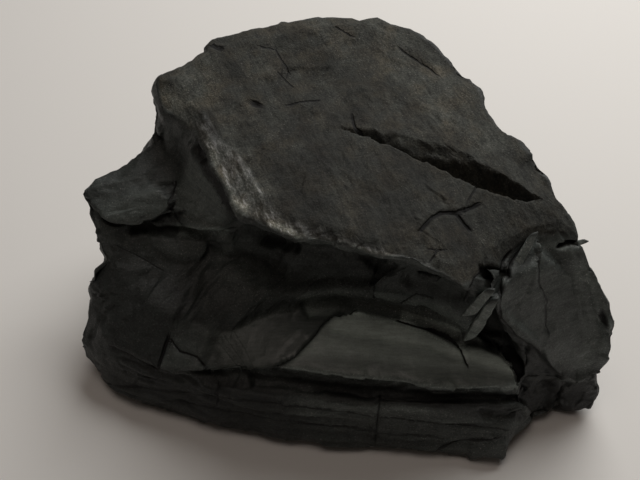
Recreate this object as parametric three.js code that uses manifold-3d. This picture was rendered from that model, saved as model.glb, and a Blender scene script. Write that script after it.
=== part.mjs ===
// Lump charcoal: one broken lump of burnt wood, lying on its flat underside.
//
// The lump is a stack of outlines, each going once round it at one level. A point of an outline is
// [way, x, y, z]. The way counts about one for each millimetre round the widest part: 0 is the
// middle of the back, the left end comes at about 50, the front from 80 to 150, the right end at
// 177, and 240 is the back again. +X is the lump's right, -Y its front, and z is up from the floor.
// Between two points an outline is straight, and between two outlines the skin is a broken face.
import * as THREE from 'three';
import { mergeVertices } from 'three/addons/utils/BufferGeometryUtils.js';
import Module from 'manifold-3d';

// Driving sizes, in millimetres: the outlines below are fitted to them exactly.
const lumpWidth = 87;
const lumpDepth = 58.5;
const lumpHeight = 46;

const wayRound = 240;
const columnCount = 120;
const roughnessDepth = 0.3;
const charcoalColour = 0x2e2d2a;

// The edge of the flat face that the lump lies on.
const restingEdge = [
  [0, 1, 22, 0], [22, -19, 20, 0], [34, -28, 14, 0], [46, -36, 4, 0], [58, -40.5, -7, 0],
  [66, -40, -13, 0], [78, -32, -18.5, 0], [94, -19, -23, 0], [118, 2, -26.5, 0], [142, 21, -28, 0],
  [149, 26, -28, 0], [152, 27.5, -24.5, 0], [157, 31, -21.5, 0], [162, 36, -19.5, 0],
  [174, 41, -19.5, 0], [177, 41, -18, 0], [190, 38.5, -7.5, 0], [203, 32.5, 6, 0],
  [216, 22.5, 18, 0], [228, 11.5, 22.5, 0],
];

// The swell just above the floor.
const bottomSwell = [
  [0, 1, 24, 3], [10, -9, 25.5, 3], [15, -14, 23, 3], [22, -20, 22, 3], [34, -30, 16, 3],
  [46, -38, 5, 3.5], [58, -43, -11.5, 4], [64, -41.5, -13, 2.5], [70, -38.5, -16.5, 1.5],
  [78, -34, -18.5, 1.5], [86, -28, -20.5, 1.5], [94, -22, -23, 1.5], [102, -16, -24.5, 1.5],
  [110, -9, -26, 1.5], [118, -2.5, -27, 1.5], [126, 6, -27.5, 1.5], [134, 13.5, -28, 1.5],
  [142, 21.5, -28.5, 1.5], [147, 26, -29.5, 1.5], [149, 27.5, -29, 1.5], [152, 28.5, -26, 2],
  [155, 32.5, -23, 2], [157, 33, -22, 2], [159, 35.5, -21.5, 2], [162, 37, -20, 2],
  [174, 42.5, -19.5, 1.5], [177, 43, -19, 3], [190, 40, -7, 2.5], [203, 34, 6.5, 3],
  [216, 24, 19, 3], [228, 12.5, 24, 3],
];

// The top edge of the layered block that runs along the front.
const layersTop = [
  [0, 1, 26, 10], [10, -9.5, 27, 10], [15, -14.5, 24.5, 9], [22, -21.5, 23.5, 9], [34, -31, 17, 9],
  [46, -39.5, 5, 8], [58, -43.5, -10.5, 8], [64, -40.5, -13.5, 7], [70, -37, -15.5, 7.5],
  [78, -32.5, -18, 8], [86, -27, -19.5, 8.5], [94, -21.5, -21.5, 10.5], [102, -15.5, -23, 12],
  [110, -9, -23.5, 12.5], [118, -2.5, -24.5, 12.5], [126, 5.5, -25.5, 12.5], [134, 12.5, -25.5, 12],
  [142, 20.5, -26, 11], [148, 27, -26, 9.5], [152, 30, -25, 9.5], [157, 32, -21.5, 6],
  [162, 36.5, -19, 5], [174, 42, -18.5, 5], [177, 43, -18, 6], [190, 41.5, -6.5, 7.5],
  [203, 36, 7.5, 8], [216, 26, 20.5, 9], [228, 13.5, 25.5, 10],
];

// The bottom of the groove between the layered block and the ledge.
const grooveBottom = [
  [0, 1, 24.5, 13], [22, -21, 22, 12], [34, -30, 16.5, 12], [46, -38.5, 5, 11], [58, -43, -9, 10],
  [64, -40, -12.5, 10], [70, -37, -15, 9.5], [78, -32, -17.5, 10], [86, -27, -19, 10.5],
  [94, -19.5, -18.5, 12], [102, -14, -19.5, 13.5], [110, -7, -20, 14], [118, 0, -21, 14],
  [126, 8, -22, 14], [134, 14.5, -22.5, 13.5], [142, 21.5, -23, 12.5], [148, 27, -23.5, 11],
  [152, 29.5, -22.5, 10.5], [157, 32, -21.5, 8], [162, 37, -19, 7], [174, 42, -18.5, 7],
  [177, 43, -18, 8], [190, 42, -6, 10], [203, 36.5, 7.5, 11], [216, 26.5, 20, 12],
  [228, 14, 24.5, 13],
];

// The front edge of the smooth ledge.
const ledgeLip = [
  [0, 1, 27, 17], [7, -6, 28.5, 17], [12, -11, 25.5, 17], [22, -23, 24.5, 16], [34, -32, 18, 15],
  [46, -40.5, 6, 14], [58, -42, -7, 13], [64, -39, -12.5, 12.5], [70, -36, -14.5, 11.5],
  [78, -31, -17, 11], [82, -29.5, -17.5, 11], [86, -26, -19, 12], [94, -21, -20, 13.5],
  [102, -15.5, -21, 15], [110, -9, -21.5, 16], [118, -2.5, -23, 16.5], [126, 5.5, -24, 16],
  [134, 12.5, -24.5, 15.5], [142, 20.5, -24.5, 14.5], [148, 26, -24, 14], [151, 28.5, -23.5, 13.5],
  [154, 30, -23, 12], [157, 31, -21, 12], [162, 39, -19, 9], [170, 41, -18.5, 9],
  [177, 43, -18, 9.5], [190, 43.5, -6, 13], [203, 38.5, 8, 15], [216, 28, 21, 16],
  [228, 14.5, 26, 17],
];

// The back edge of the ledge, where the hollow's wall stands on it.
const ledgeBack = [
  [0, 2, 25.5, 21], [22, -22.5, 23, 20], [34, -31, 17, 19], [44, -38.5, 8, 19], [51, -42, -4.5, 17],
  [55, -39.5, -3, 19.5], [60, -36.5, -5.5, 19], [66, -33, -8, 18.5], [74, -29.5, -10.5, 18],
  [80, -26.5, -12.5, 17.5], [88, -22, -13.5, 17], [96, -17, -14.5, 17], [102, -13.5, -12.5, 17.5],
  [108, -10, -11, 18], [114, -5.5, -10, 18.5], [119, -1, -10, 18.5], [123, 2, -11, 18],
  [128, 7.5, -12, 17.5], [134, 12.5, -13.5, 17], [139, 17.5, -16.5, 16], [142, 19.5, -17.5, 16],
  [145, 22.5, -16.5, 15.5], [148, 25.5, -18, 15], [150, 27.5, -20, 14.5], [152, 28.5, -23, 13.5],
  [154, 29.5, -22.5, 12.5], [157, 30.5, -20.5, 14], [162, 36, -19, 11.5], [170, 41, -18, 11.5],
  [177, 43.5, -17.5, 12], [190, 41, -6, 17], [203, 35.5, 8, 18], [216, 26, 20, 19.5],
  [228, 14, 24.5, 21],
];

// The foot of the hollow's wall, and on the left the rim of the middle facet.
const lowWall = [
  [0, 2, 27, 25], [22, -24, 25, 24], [34, -32.5, 18.5, 23], [44, -37.5, 9, 23],
  [52, -39.5, -1.5, 22], [55, -38, -2.5, 21], [58, -36, -3, 21.5], [62, -33, -3, 21.5],
  [66, -29, -3, 21.5], [70, -25.5, -4, 21.5], [74, -22.5, -3.5, 21.5], [77, -21, -2, 22],
  [82, -18.5, -3.5, 21.5], [88, -13, -5.5, 22], [96, -8.5, -7.5, 23], [104, -4, -8.5, 23.5],
  [112, 1, -9, 24], [120, 6, -9.5, 24], [126, 6, -11.5, 20.5], [131, 10.5, -12, 20.5],
  [136, 14.5, -13.5, 20], [140, 17, -15.5, 19.5], [143, 19.5, -17, 19], [146, 21.5, -16.5, 18.5],
  [150, 23, -14.5, 18], [154, 27, -15.5, 17], [157, 29, -20, 19], [162, 32.5, -19.5, 17.5],
  [170, 39, -18, 17], [177, 43, -17.5, 17], [190, 39, -5.5, 22], [203, 33, 8, 23],
  [216, 24.5, 19.5, 24], [228, 14, 25.5, 25],
];

// The undercut below the left lobe, and the middle of the hollow's wall.
const undercut = [
  [0, 2, 26, 29], [9, -8.5, 27.5, 28.5], [15, -15, 24, 28.5], [22, -23.5, 24, 28],
  [34, -32, 18, 27], [44, -37, 9, 26], [52, -39.5, -0.5, 24.5], [55, -38, -1, 24.5],
  [58, -36.5, -1, 24.5], [62, -34.5, 0.5, 24.5], [66, -31, 0.5, 24.5], [70, -26.5, 0, 24.5],
  [74, -23, -1, 24], [77, -20.5, -1.5, 24], [82, -17.5, -3, 24.5], [88, -11.5, -4, 26],
  [96, -7, -6, 27], [104, -2, -7, 27.5], [112, 2.5, -7.5, 28], [120, 7.5, -8.5, 28],
  [126, 5, -12, 25], [131, 9, -12, 26.5], [136, 13.5, -13, 28], [140, 16.5, -14.5, 27],
  [143, 18.5, -15.5, 26], [146, 20, -16, 25], [150, 23, -13.5, 24], [154, 26, -14.5, 23],
  [157, 25.5, -19.5, 23.5], [162, 29, -20, 23], [170, 38, -16.5, 22], [177, 43.5, -16.5, 21.5],
  [190, 37.5, -5, 26.5], [203, 31.5, 7.5, 28], [209, 29, 11.5, 29], [212, 26, 14, 28.5],
  [216, 23.5, 19, 29], [228, 13.5, 27, 30],
];

// The edge of the left lobe, with its pointed tip at 52.
const lobeEdge = [
  [0, 2, 27.5, 34], [9, -8.5, 29, 33], [15, -15.5, 26, 33.5], [22, -24, 25.5, 32],
  [32, -31, 20, 31.5], [38, -31.5, 13, 32], [43, -35, 9.5, 31.5], [47, -38.5, 8, 30.5],
  [52, -42, 4.5, 29.5], [55, -40.5, 2.5, 28.5], [58, -37.5, 1, 27.5], [62, -34.5, 0, 27],
  [66, -31, 0.5, 27], [70, -27.5, 2, 27.5], [74, -24.5, -0.5, 27], [77, -21, -2, 26.5],
  [82, -17, -4, 27], [88, -11, -5, 31], [96, -6.5, -7.5, 32], [104, -2, -8.5, 32],
  [112, 3, -9.5, 32], [120, 8, -10.5, 31.5], [126, 11.5, -12.5, 31], [131, 14.5, -14.5, 30.5],
  [136, 17, -16, 30], [140, 19, -17, 29.5], [143, 20.5, -17.5, 29], [146, 22, -16.5, 28.5],
  [150, 24, -14, 28.5], [154, 26.5, -14.5, 28], [157, 24, -20, 28.5], [162, 25.5, -20.5, 27.5],
  [170, 36, -15, 27], [177, 40.5, -14.5, 27.5], [190, 34.5, -4.5, 31], [203, 28, 7.5, 33],
  [209, 25.5, 12, 34], [212, 22, 14.5, 34], [216, 20, 18.5, 35], [228, 11.5, 26.5, 35],
];

// The roof of the hollow, and on the left the foot of the wall above the lobe.
const roof = [
  [0, 2, 28.5, 41], [22, -23.5, 26, 38], [32, -31, 20, 36], [38, -30, 13, 34], [43, -29, 12, 33.5],
  [47, -28.5, 10.5, 33], [52, -26.5, 7.5, 32.5], [58, -25, 4, 31.5], [66, -22.5, 1, 30],
  [74, -20, -1, 29.5], [78, -18, -2.5, 29.5], [82, -16, -5.5, 31], [88, -11.5, -8, 34.5],
  [96, -7, -10.5, 35.5], [104, -2.5, -12, 35.5], [112, 2.5, -13, 35.5], [120, 8, -14.5, 35],
  [126, 12, -16, 34.5], [131, 15, -17, 34.5], [136, 17, -18, 34], [140, 18.5, -19, 33.5],
  [143, 20, -19.5, 33], [146, 21.5, -18.5, 32.5], [150, 24, -15, 32.5], [154, 26, -15, 32],
  [157, 22.5, -20.5, 33], [162, 23.5, -20, 32.5], [170, 33, -13, 32.5], [177, 38, -13, 32],
  [190, 31.5, -4, 36], [203, 25, 7.5, 38], [216, 17.5, 17.5, 40], [228, 10.5, 26, 41],
];

// The outer edge of the top slab, which hangs over the hollow along the front.
const lip = [
  [0, 1, 29.5, 45.5], [6, -5.5, 29.5, 45.5], [10, -8.5, 29, 45], [14, -12, 28, 45],
  [18, -16.5, 27, 44.5], [21.5, -20.5, 26.5, 44], [23, -22, 25.5, 43.5], [24.5, -22, 24, 43],
  [28, -25, 21, 42.5], [31, -27.5, 20, 42], [34, -29.5, 18, 42], [37, -29.5, 15, 41.5],
  [40, -29, 11.5, 41], [43, -28, 10.5, 41], [47, -26, 9.5, 41], [52, -23.5, 7, 41],
  [58, -21.5, 3.5, 41], [66, -19.5, -1.5, 41], [74, -17, -6.5, 41], [78, -16, -9.5, 41],
  [82, -14.5, -11.5, 41], [88, -12, -13, 41], [96, -9.5, -14.5, 41], [104, -6.5, -16, 41],
  [112, -3, -16, 41], [120, 0.5, -16.5, 41], [126, 3.5, -18, 40.5], [131, 6.5, -18.5, 40.5],
  [136, 10, -18.5, 40], [140, 12.5, -20, 39.5], [143, 15, -20.5, 38.5], [146, 17.5, -22, 37.5],
  [150, 19.5, -20, 37], [154, 21, -18, 37], [157, 22.5, -18, 35.5], [162, 24, -16, 36],
  [170, 29.5, -11, 36.5], [177, 36, -10.5, 35.5], [184, 34.5, -7, 38], [190, 33.5, -5, 38.5],
  [199, 31, 0, 40], [205, 29, 4, 41], [209, 26, 5.5, 41.5], [214, 24, 9.5, 42],
  [219, 22.5, 14, 42.5], [224, 20, 18.5, 43], [229, 16, 24, 44], [233, 12.5, 27, 44.5],
  [236, 9, 28, 45], [237, 7.5, 29.5, 45.5],
];

// The upper edge of the rolled rim of the top slab.
const rim = [
  [0, 1, 27, 46], [22, -20, 22.5, 44.5], [34, -27, 16, 43], [43, -24.5, 12.5, 42.5],
  [52, -21.5, 9.5, 42.5], [58, -19, 5, 42.5], [66, -17, 0, 42.5], [74, -15, -3, 42.5],
  [82, -12.5, -7, 42.5], [90, -10, -10, 42.5], [98, -6.5, -12.5, 42.5], [108, -2.5, -13.5, 42],
  [118, 1.5, -15, 42], [128, 6, -16.5, 41.5], [136, 10, -17, 40.5], [142, 14, -18.5, 40],
  [147, 17, -19, 39], [152, 20, -16, 38.5], [160, 23, -14.5, 38], [168, 28, -11, 38],
  [177, 33.5, -9, 37.5], [184, 31, -5.5, 39], [199, 26, 2.5, 41], [209, 21.5, 8, 42.5],
  [219, 18, 16, 43], [229, 13, 23.5, 44], [236, 6, 27, 45.5],
];

// The outlines from the floor up, each with the number of rows of skin from the one below it.
const stack = [
  [restingEdge, 0], [bottomSwell, 1], [layersTop, 2], [grooveBottom, 1], [ledgeLip, 1],
  [ledgeBack, 2], [lowWall, 1], [undercut, 1], [lobeEdge, 1], [roof, 1], [lip, 1], [rim, 1],
];

// The top face runs in from the rim to its middle, level at first inside and falling near the rim.
const topMiddle = new THREE.Vector3(3, 8, 43.3);
const topShares = [0.86, 0.68, 0.5, 0.32, 0.16];
const topFall = 2.5;

// The gaping check in the top face: pairs of places on its far and near edges, and its floor.
const checkFarEdge = [[0.5, 5], [5, 4.5], [11, 3], [16, 2], [21, -0.5], [26, -3.5], [30, -5.5]];
const checkNearEdge = [[0.5, 4.5], [5, 2.5], [11, -0.5], [16, -3], [21, -5.5], [26, -7], [30, -6]];
const checkFloor = [43, 40, 38.5, 38, 37.5, 37, 38];
const checkShoulder = 2.5;
const checkLidHeight = 50;

// Splinters that stand in the hollow's right end: [foot, tip, width, thickness].
const splinters = [
  [[18.5, -21.5, 26], [23, -19, 35], 2.2, 1.2],
  [[20, -20, 19], [24.5, -19.5, 31.5], 2.4, 1.3],
  [[25, -16.5, 33], [29, -11.5, 38], 1.8, 1.2],
];

// One place on an outline, by the way round.
function placeOn(outline, way) {
  let before = outline[outline.length - 1];
  let beforeWay = before[0] - wayRound;
  for (const point of [...outline, [wayRound + outline[0][0], ...outline[0].slice(1)]]) {
    if (way <= point[0]) {
      const share = (way - beforeWay) / (point[0] - beforeWay || 1);
      const [x, y, z] = [1, 2, 3].map((k) => THREE.MathUtils.lerp(before[k], point[k], share));
      return new THREE.Vector3(x, y, z);
    }
    before = point;
    beforeWay = point[0];
  }
  throw new Error('the way is longer than the way round');
}

// Small broken unevenness: two slow waves in each direction, none of them in step.
function roughen(place) {
  const { x, y, z } = place;
  const wave = (a, b, c, d) => Math.sin(a * x + b * y + c * z + d);
  place.x += roughnessDepth * (wave(0.31, 0.52, 0.44, 0.4) + wave(-0.63, 0.28, 0.7, 2.2));
  place.y += roughnessDepth * (wave(0.48, -0.35, 0.41, 4.0) + wave(0.27, 0.66, -0.52, 1.1));
  if (z > 0) place.z += roughnessDepth * (wave(0.43, 0.38, 0.2, 2.9) + wave(-0.3, 0.71, 0.4, 0.8));
  return place;
}

// All rows of places, from the edge of the underside up to the last row inside the rim.
function lumpRows() {
  const ways = Array.from({ length: columnCount }, (_, i) => (i * wayRound) / columnCount);
  const rows = [];
  stack.forEach(([outline, steps], level) => {
    if (level === 0) {
      rows.push(ways.map((way) => roughen(placeOn(outline, way))));
      return;
    }
    const below = stack[level - 1][0];
    for (let step = 1; step <= steps; step += 1) {
      const row = ways.map((way) => placeOn(below, way).lerp(placeOn(outline, way), step / steps));
      rows.push(row.map(roughen));
    }
  });
  for (const share of topShares) {
    rows.push(ways.map((way) => {
      const edge = placeOn(rim, way);
      const place = topMiddle.clone().lerp(edge, share);
      place.z = THREE.MathUtils.lerp(topMiddle.z, edge.z, share ** topFall);
      return roughen(place);
    }));
  }
  return rows;
}

// The closed skin: the rows joined in rings, and a fan to a middle point at the bottom and the top.
function lumpSkin() {
  const rows = lumpRows();
  const positions = [new THREE.Vector3(0, 0, 0), ...rows.flat(), topMiddle.clone()];
  const last = positions.length - 1;
  const indices = [];
  const at = (row, column) => 1 + row * columnCount + (column % columnCount);
  for (let column = 0; column < columnCount; column += 1) {
    indices.push(0, at(0, column + 1), at(0, column));
    indices.push(last, at(rows.length - 1, column), at(rows.length - 1, column + 1));
    for (let row = 0; row < rows.length - 1; row += 1) {
      const [a, b] = [at(row, column), at(row, column + 1)];
      const [c, d] = [at(row + 1, column), at(row + 1, column + 1)];
      indices.push(a, b, d, a, d, c);
    }
  }
  const geometry = new THREE.BufferGeometry().setFromPoints(positions);
  geometry.setIndex(indices);
  return geometry;
}

// The wedge of air in the gaping check: upright sides under a lid, then two slopes to its floor.
function checkWedge() {
  const positions = [];
  checkFloor.forEach((floor, i) => {
    const [farX, farY] = checkFarEdge[i];
    const [nearX, nearY] = checkNearEdge[i];
    const shoulder = floor + checkShoulder;
    positions.push(new THREE.Vector3(farX, farY, checkLidHeight));
    positions.push(new THREE.Vector3(farX, farY, shoulder));
    positions.push(new THREE.Vector3((farX + nearX) / 2, (farY + nearY) / 2, floor));
    positions.push(new THREE.Vector3(nearX, nearY, shoulder));
    positions.push(new THREE.Vector3(nearX, nearY, checkLidHeight));
  });
  const sides = 5;
  const indices = [0, 1, 2, 0, 2, 3, 0, 3, 4];
  for (let i = 0; i < checkFloor.length - 1; i += 1) {
    for (let side = 0; side < sides; side += 1) {
      const [a, b] = [sides * i + side, sides * i + ((side + 1) % sides)];
      indices.push(a, a + sides, b + sides, a, b + sides, b);
    }
  }
  const end = sides * (checkFloor.length - 1);
  indices.push(end, end + 2, end + 1, end, end + 3, end + 2, end, end + 4, end + 3);
  const geometry = new THREE.BufferGeometry().setFromPoints(positions);
  geometry.setIndex(indices);
  return geometry;
}

// A splinter is a flat bar with four sides that narrows to its tip.
function splinterBar([foot, tip, width, thickness]) {
  const from = new THREE.Vector3(...foot);
  const along = new THREE.Vector3(...tip).sub(from);
  const bar = new THREE.CylinderGeometry(0.32, 0.5, along.length(), 4, 1);
  bar.scale(width, 1, thickness);
  const turn = new THREE.Quaternion().setFromUnitVectors(
    new THREE.Vector3(0, 1, 0),
    along.clone().normalize(),
  );
  bar.applyQuaternion(turn);
  const middle = from.addScaledVector(along, 0.5);
  bar.translate(middle.x, middle.y, middle.z);
  return bar;
}

const wasm = await Module();
wasm.setup();

function toSolid(geometry) {
  geometry.deleteAttribute('normal');
  geometry.deleteAttribute('uv');
  const merged = mergeVertices(geometry, 1e-4);
  return new wasm.Manifold(new wasm.Mesh({
    numProp: 3,
    vertProperties: new Float32Array(merged.attributes.position.array),
    triVerts: new Uint32Array(merged.index.array),
  }));
}

function toGeometry(solid) {
  const mesh = solid.getMesh();
  const geometry = new THREE.BufferGeometry();
  geometry.setAttribute('position', new THREE.BufferAttribute(mesh.vertProperties, 3));
  geometry.setIndex(new THREE.BufferAttribute(mesh.triVerts, 1));
  return geometry;
}

// The outlines are centred and brought to the driving sizes, with the underside at z = 0.
function fitToSizes(geometry) {
  geometry.computeBoundingBox();
  const { min, max } = geometry.boundingBox;
  geometry.translate(-(min.x + max.x) / 2, -(min.y + max.y) / 2, -min.z);
  geometry.scale(
    lumpWidth / (max.x - min.x),
    lumpDepth / (max.y - min.y),
    lumpHeight / (max.z - min.z),
  );
  geometry.computeVertexNormals();
  return geometry;
}

function charcoalLump() {
  let solid = toSolid(lumpSkin());
  for (const splinter of splinters) solid = solid.add(toSolid(splinterBar(splinter)));
  solid = solid.subtract(toSolid(checkWedge()));
  const charcoal = new THREE.MeshStandardMaterial({
    color: charcoalColour,
    roughness: 0.6,
    metalness: 0,
    flatShading: true,
  });
  const lump = new THREE.Mesh(fitToSizes(toGeometry(solid)), charcoal);
  lump.name = 'charcoal_lump';
  return lump;
}

const part = new THREE.Group();
part.add(charcoalLump());

export default part;
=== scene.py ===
# Lump charcoal on a pale floor, seen from the front at fifty degrees above the floor.
import bpy
import numpy as np
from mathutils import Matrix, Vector


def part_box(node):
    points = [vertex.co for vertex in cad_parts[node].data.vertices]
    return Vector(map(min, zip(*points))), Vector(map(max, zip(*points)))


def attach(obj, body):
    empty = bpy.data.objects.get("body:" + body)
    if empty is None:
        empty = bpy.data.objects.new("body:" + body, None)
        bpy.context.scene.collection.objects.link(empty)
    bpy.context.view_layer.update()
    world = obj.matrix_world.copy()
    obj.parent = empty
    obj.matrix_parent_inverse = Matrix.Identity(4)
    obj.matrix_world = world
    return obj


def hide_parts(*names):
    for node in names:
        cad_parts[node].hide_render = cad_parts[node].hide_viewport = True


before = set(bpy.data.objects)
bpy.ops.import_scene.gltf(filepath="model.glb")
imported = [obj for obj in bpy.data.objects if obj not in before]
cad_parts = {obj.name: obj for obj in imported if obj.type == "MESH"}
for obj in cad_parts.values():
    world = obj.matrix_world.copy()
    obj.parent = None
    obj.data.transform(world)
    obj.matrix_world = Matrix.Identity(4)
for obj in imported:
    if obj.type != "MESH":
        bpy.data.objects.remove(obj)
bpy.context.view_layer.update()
print("frame loaded")

toMetres = 0.001
toMillimetres = 1000

# The camera, in millimetres and degrees.
view = {
    "target": (-3.2, 2.4, 19.85),
    "distance": 179.6,
    "elevation": 50.0,
    "lens": 60.0,
    "sensor": 36.0,
}
tilt = np.radians(view["elevation"])
forward = np.array([0.0, np.cos(tilt), -np.sin(tilt)])
upward = np.array([0.0, np.sin(tilt), np.cos(tilt)])
rightward = np.array([1.0, 0.0, 0.0])
eye = np.array(view["target"]) - view["distance"] * forward

cameraData = bpy.data.cameras.new("camera")
cameraData.lens = view["lens"]
cameraData.sensor_width = view["sensor"]
cameraData.clip_start = 0.01
camera = bpy.data.objects.new("camera", cameraData)
camera.location = Vector(eye * toMetres)
camera.rotation_euler = Vector(forward).to_track_quat("-Z", "Y").to_euler()
bpy.context.scene.collection.objects.link(camera)
bpy.context.scene.camera = camera
print("camera placed")


# Where a place is seen: mm across and up from the middle of the view, on the plane through
# the target that faces the camera.
def seenFrom(places):
    away = places - eye
    depth = away @ forward
    return np.stack([away[:, 0], away @ upward], axis=1) * (view["distance"] / depth)[:, None]


# A smooth random field: random values on a lattice, blended between its corners by a cubic ease.
def softNoise(places, size, seed):
    values = np.random.default_rng(seed).random((32, 32, 32)) * 2 - 1
    cell = places / size
    corner = np.floor(cell).astype(int)
    ease = cell - corner
    ease = ease * ease * (3 - 2 * ease)
    total = np.zeros(len(places))
    for step in np.ndindex(2, 2, 2):
        share = np.prod(np.where(step, ease, 1 - ease), axis=1)
        x, y, z = ((corner + step) % 32).T
        total += share * values[x, y, z]
    return total


# Smooth random fields of several sizes added up, each times its own height.
def waves(places, sizes, seed):
    return sum(
        height * softNoise(places, size, seed + number)
        for number, (size, height) in enumerate(sizes)
    )


# Broken flat faces: space is cut into cells round scattered seeds, and in each cell the
# height is a plane through its seed with its own random lean.
def brokenFaces(places, size, seed):
    random = np.random.default_rng(seed)
    scatter = random.random((16, 16, 16, 3))
    lean = random.normal(size=(16, 16, 16, 3))
    lean /= np.linalg.norm(lean, axis=-1, keepdims=True)
    cell = np.floor(places / size).astype(int)
    nearest = np.full(len(places), 1e9)
    height = np.zeros(len(places))
    for step in np.ndindex(3, 3, 3):
        corner = cell + step - 1
        x, y, z = (corner % 16).T
        away = places - (corner + scatter[x, y, z]) * size
        gap = (away ** 2).sum(axis=1)
        closer = gap < nearest
        nearest = np.where(closer, gap, nearest)
        height = np.where(closer, (away * lean[x, y, z]).sum(axis=1), height)
    return height


# Distance from each spot to a line of straight pieces, and how far to the left of the nearest
# piece the spot lies, negative on the right.
def lineDistance(spots, line):
    line = np.array(line, float)
    start, piece = line[:-1], np.diff(line, axis=0)
    away = spots[:, None, :] - start[None]
    share = np.clip((away * piece).sum(-1) / (piece ** 2).sum(-1), 0, 1)
    gap = np.linalg.norm(away - share[..., None] * piece, axis=-1)
    best = gap.argmin(axis=1)
    rows = np.arange(len(spots))
    unit = (piece / np.linalg.norm(piece, axis=1, keepdims=True))[best]
    toSpot = away[rows, best]
    return gap[rows, best], unit[:, 0] * toSpot[:, 1] - unit[:, 1] * toSpot[:, 0]


# How far inside a closed shape each spot is, in mm, and negative outside it.
def insideBy(spots, shape):
    shape = np.array(shape, float)
    gap = lineDistance(spots, np.vstack([shape, shape[:1]]))[0]
    x, y = spots[:, :1], spots[:, 1:]
    x0, y0 = shape.T
    x1, y1 = np.roll(shape, -1, axis=0).T
    crosses = (y0 > y) != (y1 > y)
    meets = x0 + (y - y0) * (x1 - x0) / np.where(y1 == y0, 1e-9, y1 - y0)
    inside = (crosses & (x < meets)).sum(axis=1) % 2 == 1
    return np.where(inside, gap, -gap)


# 0 below the low value, 1 above the high one, eased between.
def ramp(value, low, high):
    share = np.clip((value - low) / (high - low), 0, 1)
    return share * share * (3 - 2 * share)


# 1 inside a range of the value, 0 outside, with soft ends.
def within(value, low, high, soft):
    return ramp(value, low - soft, low + soft) * (1 - ramp(value, high - soft, high + soft))


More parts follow.
